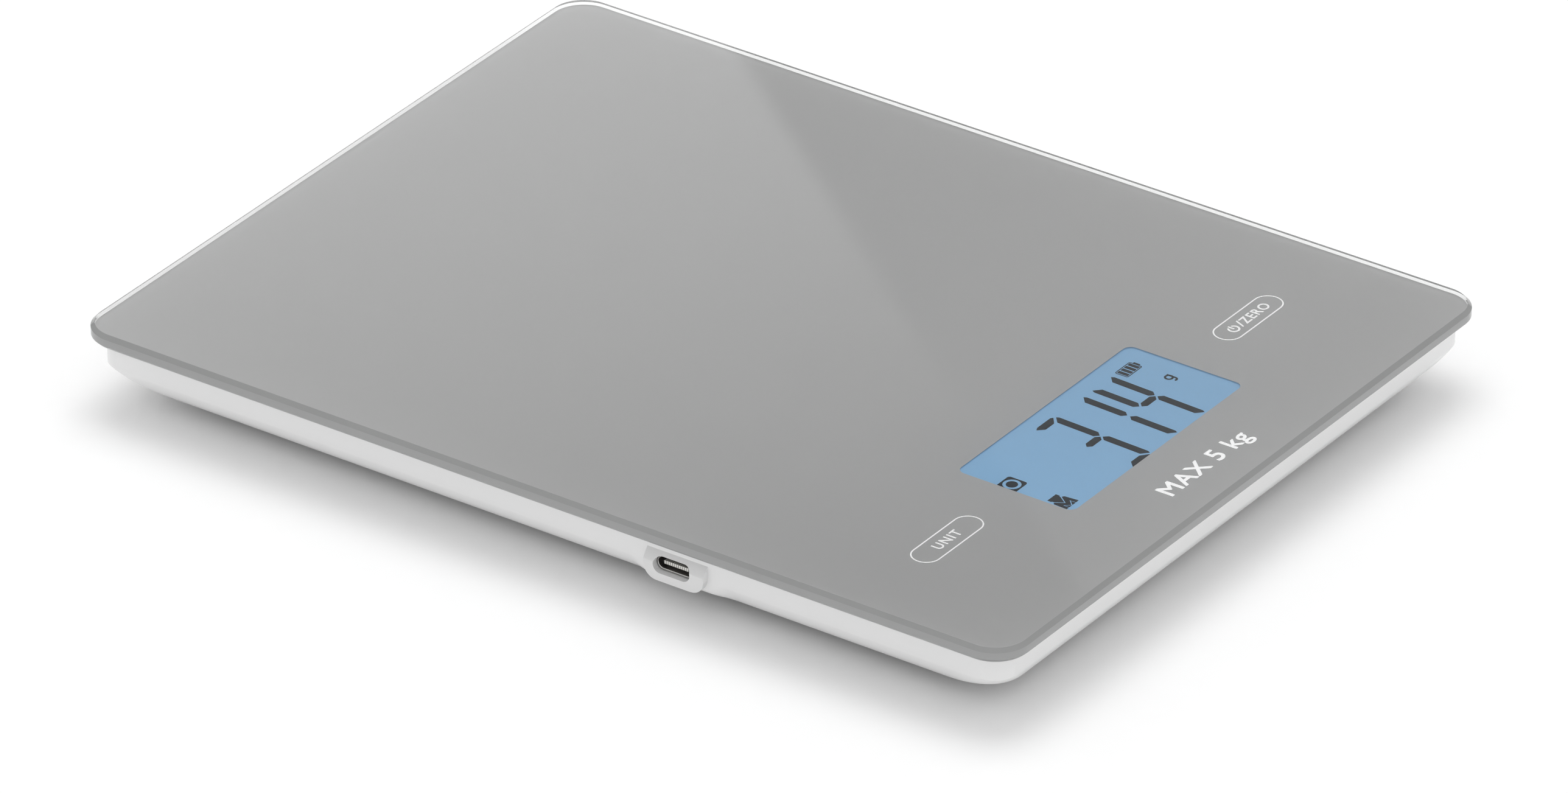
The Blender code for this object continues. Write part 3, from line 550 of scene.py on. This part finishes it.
def makePrint():  # the grey field: a thin plate between the glass outline and the display window
    edge = glassValues["underChamfer"] + 0.03 * mm
    low, high = glassBottom - printValues["thickness"], glassBottom + contact
    outer = [insetLoop(edge, glassValues["corner"] - edge, z) for z in (low, high)]
    middle = (0, windowShape["y"])
    size = (windowShape["halfX"], windowShape["halfY"], windowShape["corner"])
    inner = [roundedLoop(*size, z, middle) for z in (high, low)]
    addPiece("greyPrint", stackMesh("greyPrint", outer + inner, ring=True), "greyInk")


keyShape = {"x": 54.4 * mm, "y": -78.3 * mm, "halfX": 10.55 * mm, "halfY": 3.23 * mm, "line": 0.27 * mm}
labelText = {  # words, the box they fill as left, low, right and high, thickening of a stroke, and spacing
    "unitLabel": ("UNIT", (-58.55, -79.52, -50.45, -77.13), 0.025, 1.16),
    "zeroLabel": ("ZERO", (52.25, -79.52, 61.25, -77.08), 0.025, 1.12),
    "capacityLabel": ("MAX 5 kg", (-14.6, -107.2, 14.6, -101.4), 0.1, 1.08),
}
powerMark = {
    "x": 48.9 * mm, "y": -78.4 * mm, "outer": 1.33 * mm, "inner": 0.95 * mm, "from": 120, "to": 420,
    "bar": 0.19 * mm, "barHalf": 0.78 * mm, "barUp": 0.68 * mm,
}
slashOutline = ((50.65, -79.5), (51.05, -79.5), (52.05, -77.05), (51.65, -77.05))


def inkPlate(name, loops, material="whiteInk"):
    return addPiece(name, stackMesh(name, loops, ring=len(loops) == 4), material)


def flatLoop(points, z):
    points = np.asarray(points, dtype=float)
    return np.column_stack((points, np.full(len(points), z)))


def makeText(name, words, box, weight, spacing, low, high, material):
    # Blender's own font, stretched to fill a box as a thin solid, and thickened by eight shifted copies
    curve = bpy.data.curves.new(name, "FONT")
    curve.body = words
    curve.extrude = 0.5
    curve.space_character = spacing
    curve.resolution_u = 5
    carrier = bpy.data.objects.new(name, curve)
    bpy.context.scene.collection.objects.link(carrier)
    mesh = bpy.data.meshes.new_from_object(carrier.evaluated_get(bpy.context.evaluated_depsgraph_get()))
    bpy.data.objects.remove(carrier)
    points = np.empty(len(mesh.vertices) * 3)
    mesh.vertices.foreach_get("co", points)
    points = points.reshape(-1, 3)
    share = (points - points.min(axis=0)) / np.ptp(points, axis=0)
    start = np.array(((box[0] + weight) * mm, (box[1] + weight) * mm, low))
    stop = np.array(((box[2] - weight) * mm, (box[3] - weight) * mm, high))
    placed = start + share * (stop - start)
    faces = [list(polygon.vertices) for polygon in mesh.polygons]
    bpy.data.meshes.remove(mesh)
    copies, copyFaces = [], []
    turn = np.radians(np.arange(0, 360, 45))
    for number, (x, y) in enumerate([(0, 0), *zip(np.cos(turn), np.sin(turn))]):
        lift = (x * weight * mm, y * weight * mm, -number * 0.0005 * mm)
        copies.append(placed + lift)
        copyFaces += [[index + number * len(placed) for index in face] for face in faces]
    return addPiece(name, meshFromArrays(name, np.concatenate(copies), copyFaces), material)


def makeKeys():  # a pill outline round each key's label, and a power mark of an open ring with a bar
    low, high = glassBottom - 0.02 * mm, glassBottom + 2 * contact
    half = (keyShape["halfX"], keyShape["halfY"])
    for side, name in ((-1, "unitKeyOutline"), (1, "zeroKeyOutline")):
        middle = (side * keyShape["x"], keyShape["y"])
        loops = [
            roundedLoop(half[0] - cut, half[1] - cut, half[1] - cut, z, middle, steps=14)
            for cut, z in ((0, low), (0, high), (keyShape["line"], high), (keyShape["line"], low))
        ]
        inkPlate(name, loops)
    for name, (words, box, weight, spacing) in labelText.items():
        makeText(name, words, box, weight, spacing, low, high, "whiteInk")
    x, y = powerMark["x"], powerMark["y"]
    turn = np.radians(np.linspace(powerMark["from"], powerMark["to"], 40))
    radii = (powerMark["inner"], powerMark["outer"])
    ring = [np.column_stack((x + r * np.cos(turn), y + r * np.sin(turn))) for r in radii]
    outline = np.concatenate((ring[1], ring[0][::-1]))
    inkPlate("powerRing", [flatLoop(outline, z) for z in (low, high)])
    bar, middle = powerMark["bar"], (x, y + powerMark["barUp"])
    bars = [roundedLoop(bar, powerMark["barHalf"], bar * 0.8, z, middle, steps=4) for z in (low, high)]
    inkPlate("powerBar", bars)
    slash = np.array(slashOutline) * mm
    inkPlate("keyStroke", [flatLoop(slash, z) for z in (low, high)])


lcdShape = {
    "digitX": (-8.46 * mm, 1.47 * mm, 11.46 * mm), "width": 7.45, "height": 24.92, "top": -67.88 * mm,
    "slant": 0.039,
}
segmentsOf = {"3": "abgcd", "1": "bc", "4": "fgbc"}


def segmentOutline(kind, left):
    # each segment's six corners in millimetres from the digit's top left, mirrored for its opposite segment
    width, height = lcdShape["width"], lcdShape["height"]
    middle = height / 2
    across = (
        (0.48, 0.43), (1.35, 0), (width - 1.35, 0), (width - 0.85, 0.43), (width - 2.6, 1.83), (1.85, 1.83),
    )
    upright = (
        (width - 0.35, 0.75), (width, 1.4), (width, middle - 1.36), (width - 0.93, middle - 0.36),
        (width - 1.9, middle - 1.3), (width - 1.9, 2.15),
    )
    centre = (
        (1.25, middle), (2.15, middle - 0.88), (width - 2.1, middle - 0.88), (width - 1.2, middle),
        (width - 2.1, middle + 0.88), (2.15, middle + 0.88),
    )
    corners = np.array({"a": across, "d": across, "g": centre}.get(kind, upright), dtype=float)
    if kind in "dc":
        corners[:, 1] = height - corners[:, 1]
    if kind in "f":
        corners[:, 0] = width - corners[:, 0]
    x = left + corners[:, 0] * mm - corners[:, 1] * mm * lcdShape["slant"]
    return np.column_stack((x, lcdShape["top"] - corners[:, 1] * mm))


def makeLcd():  # the panel, then seven-segment figures leaning with the display, each digit one piece
    low, high = panelLow.z, panelHigh.z
    size = ((panelHigh.x - panelLow.x) / 2, (panelHigh.y - panelLow.y) / 2)
    loops = [roundedLoop(*size, 0.4 * mm, z, (0, windowY), steps=4) for z in (low, high)]
    addPiece("lcdPanel", stackMesh("lcdPanel", loops), "lcd", replaces=["lcd_panel"])
    base, face = high - 0.01 * mm, high + 0.03 * mm
    for figure, left in zip("314", lcdShape["digitX"]):
        outlines = [segmentOutline(kind, left) for kind in segmentsOf[figure]]
        addSegments(f"lcdDigit{figure}", outlines, base, face)
    makeUnitSign(base, face)
    makeBatteryIcon(base, face)
    makeModeIcons(base, face)


def addSegments(name, outlines, base, face):  # one piece from several flat outlines
    bars = [stackMesh("bar", [flatLoop(outline, z) for z in (base, face)]) for outline in outlines]
    addPiece(name, joinMeshes(name, bars), "lcdInk")


unitSign = {
    "x": 25.2 * mm, "y": -78.3 * mm, "outer": 1.03 * mm, "line": 0.47 * mm, "stem": 26.12 * mm,
    "top": -77.3 * mm, "drop": 1.25 * mm, "hook": -125,
}


def makeUnitSign(base, face):  # a single-storey g: a bowl, a stem down its right side, and a hook to the left
    x, y, outer, line = (unitSign[key] for key in ("x", "y", "outer", "line"))
    inner = outer - line
    rings = ((outer, base), (outer, face), (inner, face), (inner, base))
    inkPlate("unitBowl", [roundedLoop(r, r, r, z, (x, y)) for r, z in rings], "lcdInk")
    low, top = y - unitSign["drop"], unitSign["top"]
    turn = np.radians(np.linspace(0, unitSign["hook"], 14))
    radius = outer - 0.15 * mm
    middle = np.array((unitSign["stem"] - radius, low + 0.1 * mm))
    hook = [middle + r * np.column_stack((np.cos(turn), np.sin(turn))) for r in (radius, radius - line)]
    place = (unitSign["stem"] - line / 2, (top + low) / 2)
    stem = roundedLoop(line / 2, (top - low) / 2, 0.05 * mm, 0, place, steps=2)
    addSegments("unitStem", [np.concatenate((hook[0], hook[1][::-1])), stem[:, :2]], base, face)


batteryIcon = {
    "x": 23.05 * mm, "y": -69.88 * mm, "half": (2.75 * mm, 1.63 * mm), "line": 0.2 * mm,
    "bar": (0.46 * mm, 1.28 * mm), "pitch": 1.25 * mm, "tip": (0.24 * mm, 0.8 * mm),
}


def makeBatteryIcon(base, face):  # an outline with a tip and four bars
    x, y, half, line = (batteryIcon[key] for key in ("x", "y", "half", "line"))
    loops = [
        roundedLoop(half[0] - cut, half[1] - cut, 0.45 * mm - cut / 2, z, (x, y), steps=4)
        for cut, z in ((0, base), (0, face), (line, face), (line, base))
    ]
    inkPlate("batteryIconOutline", loops, "lcdInk")
    spots = [(x + (i - 1.5) * batteryIcon["pitch"], *batteryIcon["bar"]) for i in range(4)]
    spots.append((x + half[0] + 0.22 * mm, *batteryIcon["tip"]))
    outlines = [roundedLoop(hx, hy, 0.08 * mm, 0, (spotX, y), steps=2)[:, :2] for spotX, hx, hy in spots]
    addSegments("batteryIconBars", outlines, base, face)


modeIcons = {
    "squareX": -28.69 * mm, "squareY": -76.42 * mm, "half": 2.36 * mm, "corner": 0.7 * mm,
    "rings": (1.94 * mm, 1.25 * mm),
}
churnOutlines = (  # the second icon's parts: a stopper that ends in a point, the folded body, and its feet
    ((-29.95, -85.86), (-26.9, -85.86), (-26.9, -86.8), (-27.15, -86.85), (-27.3, -87.25), (-28.6, -89.05),
     (-29.7, -87.25), (-29.75, -86.85), (-29.95, -86.8)),
    ((-30.55, -90.94), (-30.4, -87.75), (-30.05, -87.45), (-29.85, -87.45), (-28.6, -89.4), (-27.15, -87.45),
     (-26.9, -87.45), (-26.55, -87.75), (-26.25, -90.94), (-27.2, -90.94), (-27.25, -89.4), (-28.6, -90.75),
     (-29.7, -89.45), (-29.75, -90.94)),
    ((-29.6, -90.94), (-29.56, -89.85), (-28.68, -90.94)),
    ((-28.5, -90.94), (-27.38, -89.8), (-27.35, -90.94)),
)


def makeModeIcons(base, face):  # a square with a ring left clear in it, and a stoppered churn, for two modes
    middle = (modeIcons["squareX"], modeIcons["squareY"])
    outer, inner = modeIcons["rings"]
    half, corner = modeIcons["half"], modeIcons["corner"]
    square = roundedLoop(half, half, corner, 0, middle, steps=11)[:, :2]
    hole = roundedLoop(outer, outer, outer, 0, middle, steps=11)[:, :2]
    loops = [flatLoop(square, base), flatLoop(square, face), flatLoop(hole, face), flatLoop(hole, base)]
    inkPlate("modeSquare", loops, "lcdInk")
    disc = [roundedLoop(inner, inner, inner, z, middle) for z in (base, face)]
    inkPlate("modeDisc", disc, "lcdInk")
    addSegments("modeChurn", [np.array(outline) * mm for outline in churnOutlines], base, face)


makeGlass()
makePrint()
makeKeys()
makeLcd()
print("stage: glass, print and display made")

belly = {  # where it leaves the wall, its radius, its first angle, and how fast its corners grow with depth
    "crease": 9.9 * mm, "radius": 12.75 * mm, "start": 23.0, "corner": 5 * mm, "growth": 1.6, "wall": 2 * mm,
}
cavity = {"inset": 7.4 * mm, "corner": 4 * mm, "lipCorner": 4.5 * mm, "ledge": 14 * mm, "lip": 1 * mm}
rimEase = 0.15 * mm
swell = {"fade": 5.5 * mm, "low": 4.2 * mm, "rise": 4.2 * mm, "reach": 20 * mm}


def bellyLoop(angle, thickness, fromInset, corner, **more):
    # an arc in section: inset = centre - radius x cosine of the angle, height = centre - radius x sine
    radius = belly["radius"] - thickness
    centreInset = wallInset + belly["radius"] * math.cos(math.radians(belly["start"]))
    centreHeight = belly["crease"] + belly["radius"] * math.sin(math.radians(belly["start"]))
    inset = centreInset - radius * math.cos(math.radians(angle))
    height = centreHeight - radius * math.sin(math.radians(angle))
    return insetLoop(inset, corner + belly["growth"] * (inset - fromInset), height, **more)


def swellAtPort(loop):
    # the belly moves out to the wall's plane by a smooth step of distance from the port times one of height
    swollen = loop.copy()
    x, y, z = swollen.T
    beside = np.clip(1 - (np.abs(y - bossY) - portShape["half"]) / swell["fade"], 0, 1)
    beside = beside * beside * (3 - 2 * beside)
    depth = np.clip((z - swell["low"]) / swell["rise"], 0, 1)
    depth = depth * depth * (3 - 2 * depth)
    left = (x < -halfWidth + 16 * mm) & (np.abs(y - bossY) < swell["reach"])
    target = np.minimum(x, wallFace)
    swollen[:, 0] = np.where(left, x + (target - np.maximum(x, wallFace)) * beside * depth, x)
    return swollen


def housingLoops():  # up the outside from the flat bottom, over the lip and tape ledge, down the inside
    stops = bossY - np.linspace(-20, 20, 41) * mm
    more = {"leftStops": stops, "steps": 14}
    corner, rim = belly["corner"], shellHigh.z
    outward = np.linspace(90, belly["start"], 18)
    outside = [swellAtPort(bellyLoop(angle, 0, wallInset, corner, **more)) for angle in outward]
    outside.append(insetLoop(wallInset, corner, rim - rimEase, **more))
    outside.append(insetLoop(wallInset + rimEase, corner - 0.1 * mm, rim, **more))
    lip, ledge = wallInset + cavity["lip"], cavity["ledge"]
    inside = [insetLoop(lip, cavity["lipCorner"], z, **more) for z in (rim, ledge)]
    inset, corner = cavity["inset"], cavity["corner"]
    inside += [insetLoop(inset, corner, z, **more) for z in (ledge, 7.5 * mm)]
    inside += [bellyLoop(angle, belly["wall"], inset, corner, **more) for angle in np.linspace(52, 90, 8)]
    return outside + inside


def stadiumLoop(width, height, x, y, z, steps=16):  # a slot's outline in an upright plane across X
    turn = np.radians(np.linspace(-90, 90, steps + 1))
    reach = (width - height) / 2
    right = np.column_stack((reach + height / 2 * np.cos(turn), height / 2 * np.sin(turn)))
    outline = np.concatenate((right, -right))
    return np.column_stack((np.full(len(outline), x), y + outline[:, 0], z + outline[:, 1]))


def bossMesh():  # the port's face: out of the wall on a slope, then straight down to round corners
    half, corner, low, proud = (portShape[key] for key in ("half", "corner", "low", "proud"))
    turn = np.radians(np.linspace(180, 270, 9))
    left = np.column_stack((-half + corner + corner * np.cos(turn), low + corner + corner * np.sin(turn)))
    right = left[::-1] * (-1, 1)
    top, fold = portShape["top"], portShape["fold"]
    outline = np.concatenate((left, right, ((half, fold), (half, top), (-half, top), (-half, fold))))
    face = wallFace - proud * np.clip((top - outline[:, 1]) / (top - fold), 0, 1)
    face = np.where(outline[:, 1] >= top, wallFace + 0.05 * mm, face)
    front = np.column_stack((face, bossY + outline[:, 0], outline[:, 1]))
    back = front.copy()
    back[:, 0] = wallFace + 3.4 * mm
    count = len(outline)
    faces = [[i, (i + 1) % count, count + (i + 1) % count, count + i] for i in range(count)]
    faces += [list(range(count - 4)) + [count - 4, count - 1], [count - 4, count - 3, count - 2, count - 1]]
    faces.append(list(range(count, 2 * count)))
    mesh = meshFromArrays("boss", np.concatenate((front, back)), faces)
    work = bmesh.new()
    work.from_mesh(mesh)
    edges = [
        edge for edge in work.edges
        if all(v.co.x < wallFace + 0.01 * mm for v in edge.verts) and edge.calc_face_angle(0) > 0.3
    ]
    bmesh.ops.bevel(work, geom=edges, offset=0.12 * mm, segments=2, profile=0.5, affect="EDGES")
    work.to_mesh(mesh)
    work.free()
    return mesh


postShape = {  # radius, pilot hole and its floor, and how far a post ends below the top of its screw
    "radius": 2.4 * mm, "pilot": 1.25 * mm, "holeUp": 1.4 * mm, "root": 1 * mm, "screwTop": 2.9 * mm,
    "gap": 0.3 * mm,
}


def postPlaces():  # every screw post as x, y and top: the screw's top less its head and what it holds
    posts = []
    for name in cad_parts:
        if "screw" in name:
            low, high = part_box(name)
            posts.append(((low.x + high.x) / 2, (low.y + high.y) / 2, high.z - postShape["screwTop"]))
    return posts


ribShape = {"x": 22 * mm, "y": 30 * mm, "half": (0.8 * mm, 70 * mm), "corner": 0.4 * mm, "down": 0.5 * mm}
footHole = 10.5 * mm


def footPlaces():
    for name in sorted(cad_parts):
        if name.startswith("foot_pad_"):
            low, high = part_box(name)
            yield name[9:], (low.x + high.x) / 2, (low.y + high.y) / 2


def rodMesh(radius, low, high, x, y, steps=24):
    return latheMesh("rod", ((radius, low), (radius, high)), (x, y), steps)


def makeHousing():
    mesh = stackMesh("baseHousing", housingLoops())
    shell = addPiece("baseHousing", mesh, "housing", replaces=["base_shell"])
    applyBoolean(shell, bossMesh(), "UNION")
    floor = shellLow.z + belly["wall"]
    root, radius, gap = shellLow.z + postShape["root"], postShape["radius"], postShape["gap"]
    posts = [rodMesh(radius, root, top - gap, x, y) for x, y, top in postPlaces()]
    half, heights = ribShape["half"], (root, shellHigh.z - ribShape["down"])
    for x in (-ribShape["x"], ribShape["x"]):
        ends = [roundedLoop(*half, ribShape["corner"], z, (x, ribShape["y"]), steps=4) for z in heights]
        posts.append(stackMesh("rib", ends))
    applyBoolean(shell, joinMeshes("posts", posts), "UNION")
    cuts = [
        latheMesh("cut", ((footHole, shellLow.z - 1 * mm), (footHole, floor + 1 * mm)), (x, y), 64)
        for _, x, y in footPlaces()
    ]
    pilot, holeFloor = postShape["pilot"], shellLow.z + postShape["holeUp"]
    cuts += [rodMesh(pilot, holeFloor, top + 1 * mm, x, y, 16) for x, y, top in postPlaces()]
    applyBoolean(shell, joinMeshes("cuts", cuts), "DIFFERENCE")
    pocketFront = wallFace - portShape["proud"] + portShape["pocket"]
    bores = (  # the slot, the seat that clears the socket, and the pocket inside the wall
        ("slot", portShape["slot"], wallFace - 5 * mm, socketLow.x + 0.1 * mm),
        ("seat", portShape["seat"], socketLow.x - 0.15 * mm, pocketFront + 0.2 * mm),
        ("pocket", portShape["pocketSize"], pocketFront, pocketFront + 6 * mm),
    )
    for name, size, start, stop in bores:
        bore = stackMesh(name, [stadiumLoop(*size, x, portY, portZ) for x in (start, stop)])
        applyBoolean(shell, bore, "DIFFERENCE")
    smoothShade(shell.data, 28)


socketShape = {
    "wall": 0.3 * mm, "lip": 0.1 * mm, "backWall": 0.8 * mm, "contacts": 12, "pitch": 0.5 * mm,
    "contactHalf": 0.21 * mm, "contactLength": 3.2,
}


def makeSocket():  # the drawn steel tube of the socket, its tongue, and the contacts round the tongue's end
    width, height = socketHigh.y - socketLow.y, socketHigh.z - socketLow.z
    start, stop, wall = socketLow.x, socketHigh.x, socketShape["wall"]
    lip = start + socketShape["lip"]
    section = (
        (stop, 0), (lip, 0), (start, 0.08 * mm), (start, 0.22 * mm), (lip, wall),
        (stop - socketShape["backWall"], wall),
    )
    loops = [stadiumLoop(width - 2 * cut, height - 2 * cut, x, portY, portZ) for x, cut in section]
    tube = stackMesh("usbSocket", loops)
    addPiece("usbSocket", tube, "socketSteel", replaces=["usb_socket_shell"])
    low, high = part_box("usb_tongue")
    middle = ((low.x + high.x) / 2, (low.y + high.y) / 2)
    half = ((high.x - low.x) / 2, (high.y - low.y) / 2)
    levels = ((0.12, 0), (0, 0.12), (0, 0.58), (0.12, 0.7))
    loops = [
        roundedLoop(half[0] - cut * mm, half[1] - cut * mm, 0.3 * mm, low.z + up * mm, middle, steps=4)
        for cut, up in levels
    ]
    tongue = stackMesh("usbTongue", loops)
    addPiece("usbTongue", tongue, "chip", replaces=["usb_tongue"])
    length, count = socketShape["contactLength"], socketShape["contacts"]
    parts = (  # the middle height of a contact's part, where it starts and stops, and half its thickness
        (high.z, 0, length, 0.03), (low.z, 0, length, 0.03), ((low.z + high.z) / 2, -0.03, 0.1, 0.36),
    )
    pads = []
    for i in range(count):
        y = middle[1] + (i - (count - 1) / 2) * socketShape["pitch"]
        for z, start, stop, thick in parts:
            size = ((stop - start) / 2 * mm, socketShape["contactHalf"])
            place = (low.x + (start + stop) / 2 * mm, y)
            ends = (z - thick * mm, z + thick * mm)
            pads.append(stackMesh("pad", [roundedLoop(*size, 0.04 * mm, h, place, steps=2) for h in ends]))
    addPiece("usbContacts", joinMeshes("usbContacts", pads), "contacts")


footShape = {  # the cup's rim, wall and button, the pad's radius, and the grip rings under it
    "button": 3.5 * mm, "flange": 12 * mm, "wall": 9.6 * mm, "base": 10 * mm, "pad": 9 * mm,
    "rings": 3, "ringDepth": 0.18 * mm,
}


def makeFeet():  # each foot and its rubber pad turned from a rounded profile, with rings under the pad
    button, flange, wall, base = (footShape[key] for key in ("button", "flange", "wall", "base"))
    for name, x, y in footPlaces():
        body = f"foot_{name}_body"
        low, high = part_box(f"foot_{name}")
        padLow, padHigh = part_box(f"foot_pad_{name}")
        top, flangeLow = high.z, shellLow.z + belly["wall"] + 0.3 * mm
        flangeTop, shelf = flangeLow + 1 * mm, shellLow.z
        outline = (
            (0, top), (button, top), (button, flangeTop), (flange, flangeTop), (flange, flangeLow),
            (wall, flangeLow), (wall, shelf), (base, shelf - 0.2 * mm), (base, low.z), (0, low.z),
        )
        foot = latheMesh(f"foot_{name}Cup", roundedProfile(outline, 0.25 * mm), (x, y), 72)
        addPiece(f"footCup_{name}", foot, "foot", body, [f"foot_{name}"])
        radius, depth = footShape["pad"], footShape["ringDepth"]
        rings = [(radius, 0.5 * mm), (radius - 0.5 * mm, 0)]
        for i in range(footShape["rings"]):
            r = radius - (1.6 + 1.9 * i) * mm
            rings += [(r + 0.35 * mm, 0), (r, depth), (r - 0.35 * mm, 0)]
        outline = [(0, padHigh.z), (radius, padHigh.z)] + rings + [(0, 0)]
        pad = latheMesh(f"pad_{name}", roundedProfile(outline, 0.2 * mm, 4), (x, y), 72)
        addPiece(f"footPad_{name}", pad, "rubber", body, [f"foot_pad_{name}"])


makeHousing()
makeSocket()
makeFeet()
print("stage: housing, port and feet made")

nodeFinish = (
    ("holder_screw", "steel"), ("board_screw", "steel"), ("charge_screw", "steel"),
    ("load_cell_holder", "frame"), ("load_cell_lead", "grey"), ("load_cell", "steel"),
    ("strain_gauge", "coat"), ("bond_tape", "tape"), ("main_board", "board"), ("charge_board", "board"),
    ("charge_chip", "chip"), ("controller_chip", "chip"), ("lcd_light_guide", "guide"),
    ("lcd_frame", "frame"), ("lcd_contact_strip", "tape"), ("lead_header", "frame"),
    ("touch_spring", "steel"), ("battery_cell", "foil"), ("battery_tape", "tape"),
    ("battery_lead_red", "red"), ("battery_lead_black", "black"), ("charge_lead", "red"),
)


def dressNodes():  # a CAD node keeps its shape and takes the finish whose name it begins with
    for name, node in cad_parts.items():
        for start, key in nodeFinish:
            if name.startswith(start):
                for slot in node.material_slots:
                    slot.material = finish[key]
                break


dressNodes()
print("stage: inner parts dressed")

studio = {
    "skyLow": 0.33, "skyHigh": 1.1, "floor": (0.93, 0.93, 0.93), "keyPower": 14.0, "keySize": 1.4,
    "keyPlace": (0.55, 0.38, 1.95),
}
mirrorBoard = {  # the slanted edge, and each side's brightness as a level, a slope rightwards and one upwards
    "lineX": -0.8464, "lineY": -0.5326, "lineAt": -0.0067, "soft": 0.0006,
    "right": (0.26, 3.3, 6.0), "left": (0.62, -8.0, 34.0),
}


def makeStudio():
    slab = stackMesh("floor", [roundedLoop(4, 4, 0.5, z) for z in (-0.01, 0)])
    floor = bpy.data.objects.new("floor", slab)
    bpy.context.scene.collection.objects.link(floor)
    material, tree, shader = startMaterial("studioFloor", Roughness=0.9, Specular_IOR_Level=0.1)
    mottle = rangeNode(tree, useGrain(tree, 60.0).outputs["Height"], 0.3, 1.0, 0.0, 1.0)
    darker = tuple(c * 0.99 for c in studio["floor"])
    linkNodes(tree, mixColours(tree, mottle, studio["floor"], darker), shader.inputs["Base Color"])
    floor.data.materials.append(material)
    lamp = bpy.data.lights.new("softbox", "AREA")
    lamp.shape = "SQUARE"
    lamp.size = studio["keySize"]
    lamp.energy = studio["keyPower"]
    softbox = bpy.data.objects.new("softbox", lamp)
    bpy.context.scene.collection.objects.link(softbox)
    softbox.location = studio["keyPlace"]
    softbox.rotation_euler = (-Vector(studio["keyPlace"])).to_track_quat("-Z", "Y").to_euler()


def makeSky():
    # a white dome that brightens from the horizon up, with a board that the glass mirrors: brightness in two
    # tilted planes that meet at a slanted edge
    world = bpy.data.worlds.new("studioSky")
    bpy.context.scene.world = world
    world.use_nodes = True
    tree = world.node_tree
    background = tree.nodes["Background"]
    background.inputs["Color"].default_value = (1, 1, 1, 1)
    direction = addNode(tree, "ShaderNodeTexCoord").outputs["Generated"]

    def along(axis):
        dot = addNode(tree, "ShaderNodeVectorMath", {"operation": "DOT_PRODUCT"})
        linkNodes(tree, direction, dot.inputs[0])
        dot.inputs[1].default_value = axis
        return dot.outputs["Value"]

    mirrored = Vector((-viewBack.x, -viewBack.y, viewBack.z))
    upward = Vector((viewUp.x, viewUp.y, -viewUp.z))
    right, up = along(viewRight), along(upward)
    near = rangeNode(tree, along(mirrored), math.cos(math.radians(9)), math.cos(math.radians(5)), 0.0, 1.0)

    def tilted(level, rightward, upward):  # level + rightward slope times right + upward slope times up
        across, rise = (mathNode(tree, "MULTIPLY", *pair) for pair in ((right, rightward), (up, upward)))
        return mathNode(tree, "ADD", mathNode(tree, "ADD", across, rise), level)

    edge = tilted(-mirrorBoard["lineAt"], mirrorBoard["lineX"], mirrorBoard["lineY"])
    board = rangeNode(tree, edge, -mirrorBoard["soft"], mirrorBoard["soft"], 0.0, 1.0)
    plain, lit = tilted(*mirrorBoard["right"]), tilted(*mirrorBoard["left"])
    gain = mathNode(tree, "MULTIPLY", board, mathNode(tree, "SUBTRACT", lit, plain))
    seen = mathNode(tree, "ADD", plain, gain)
    dome = rangeNode(tree, along((0, 0, 1)), 0.0, 1.0, studio["skyLow"], studio["skyHigh"])
    extra = mathNode(tree, "SUBTRACT", mathNode(tree, "MAXIMUM", seen, 0.0), dome)
    total = mathNode(tree, "ADD", mathNode(tree, "MULTIPLY", extra, near), dome)
    linkNodes(tree, total, background.inputs["Strength"])


makeStudio()
makeSky()
print("stage: studio lit")
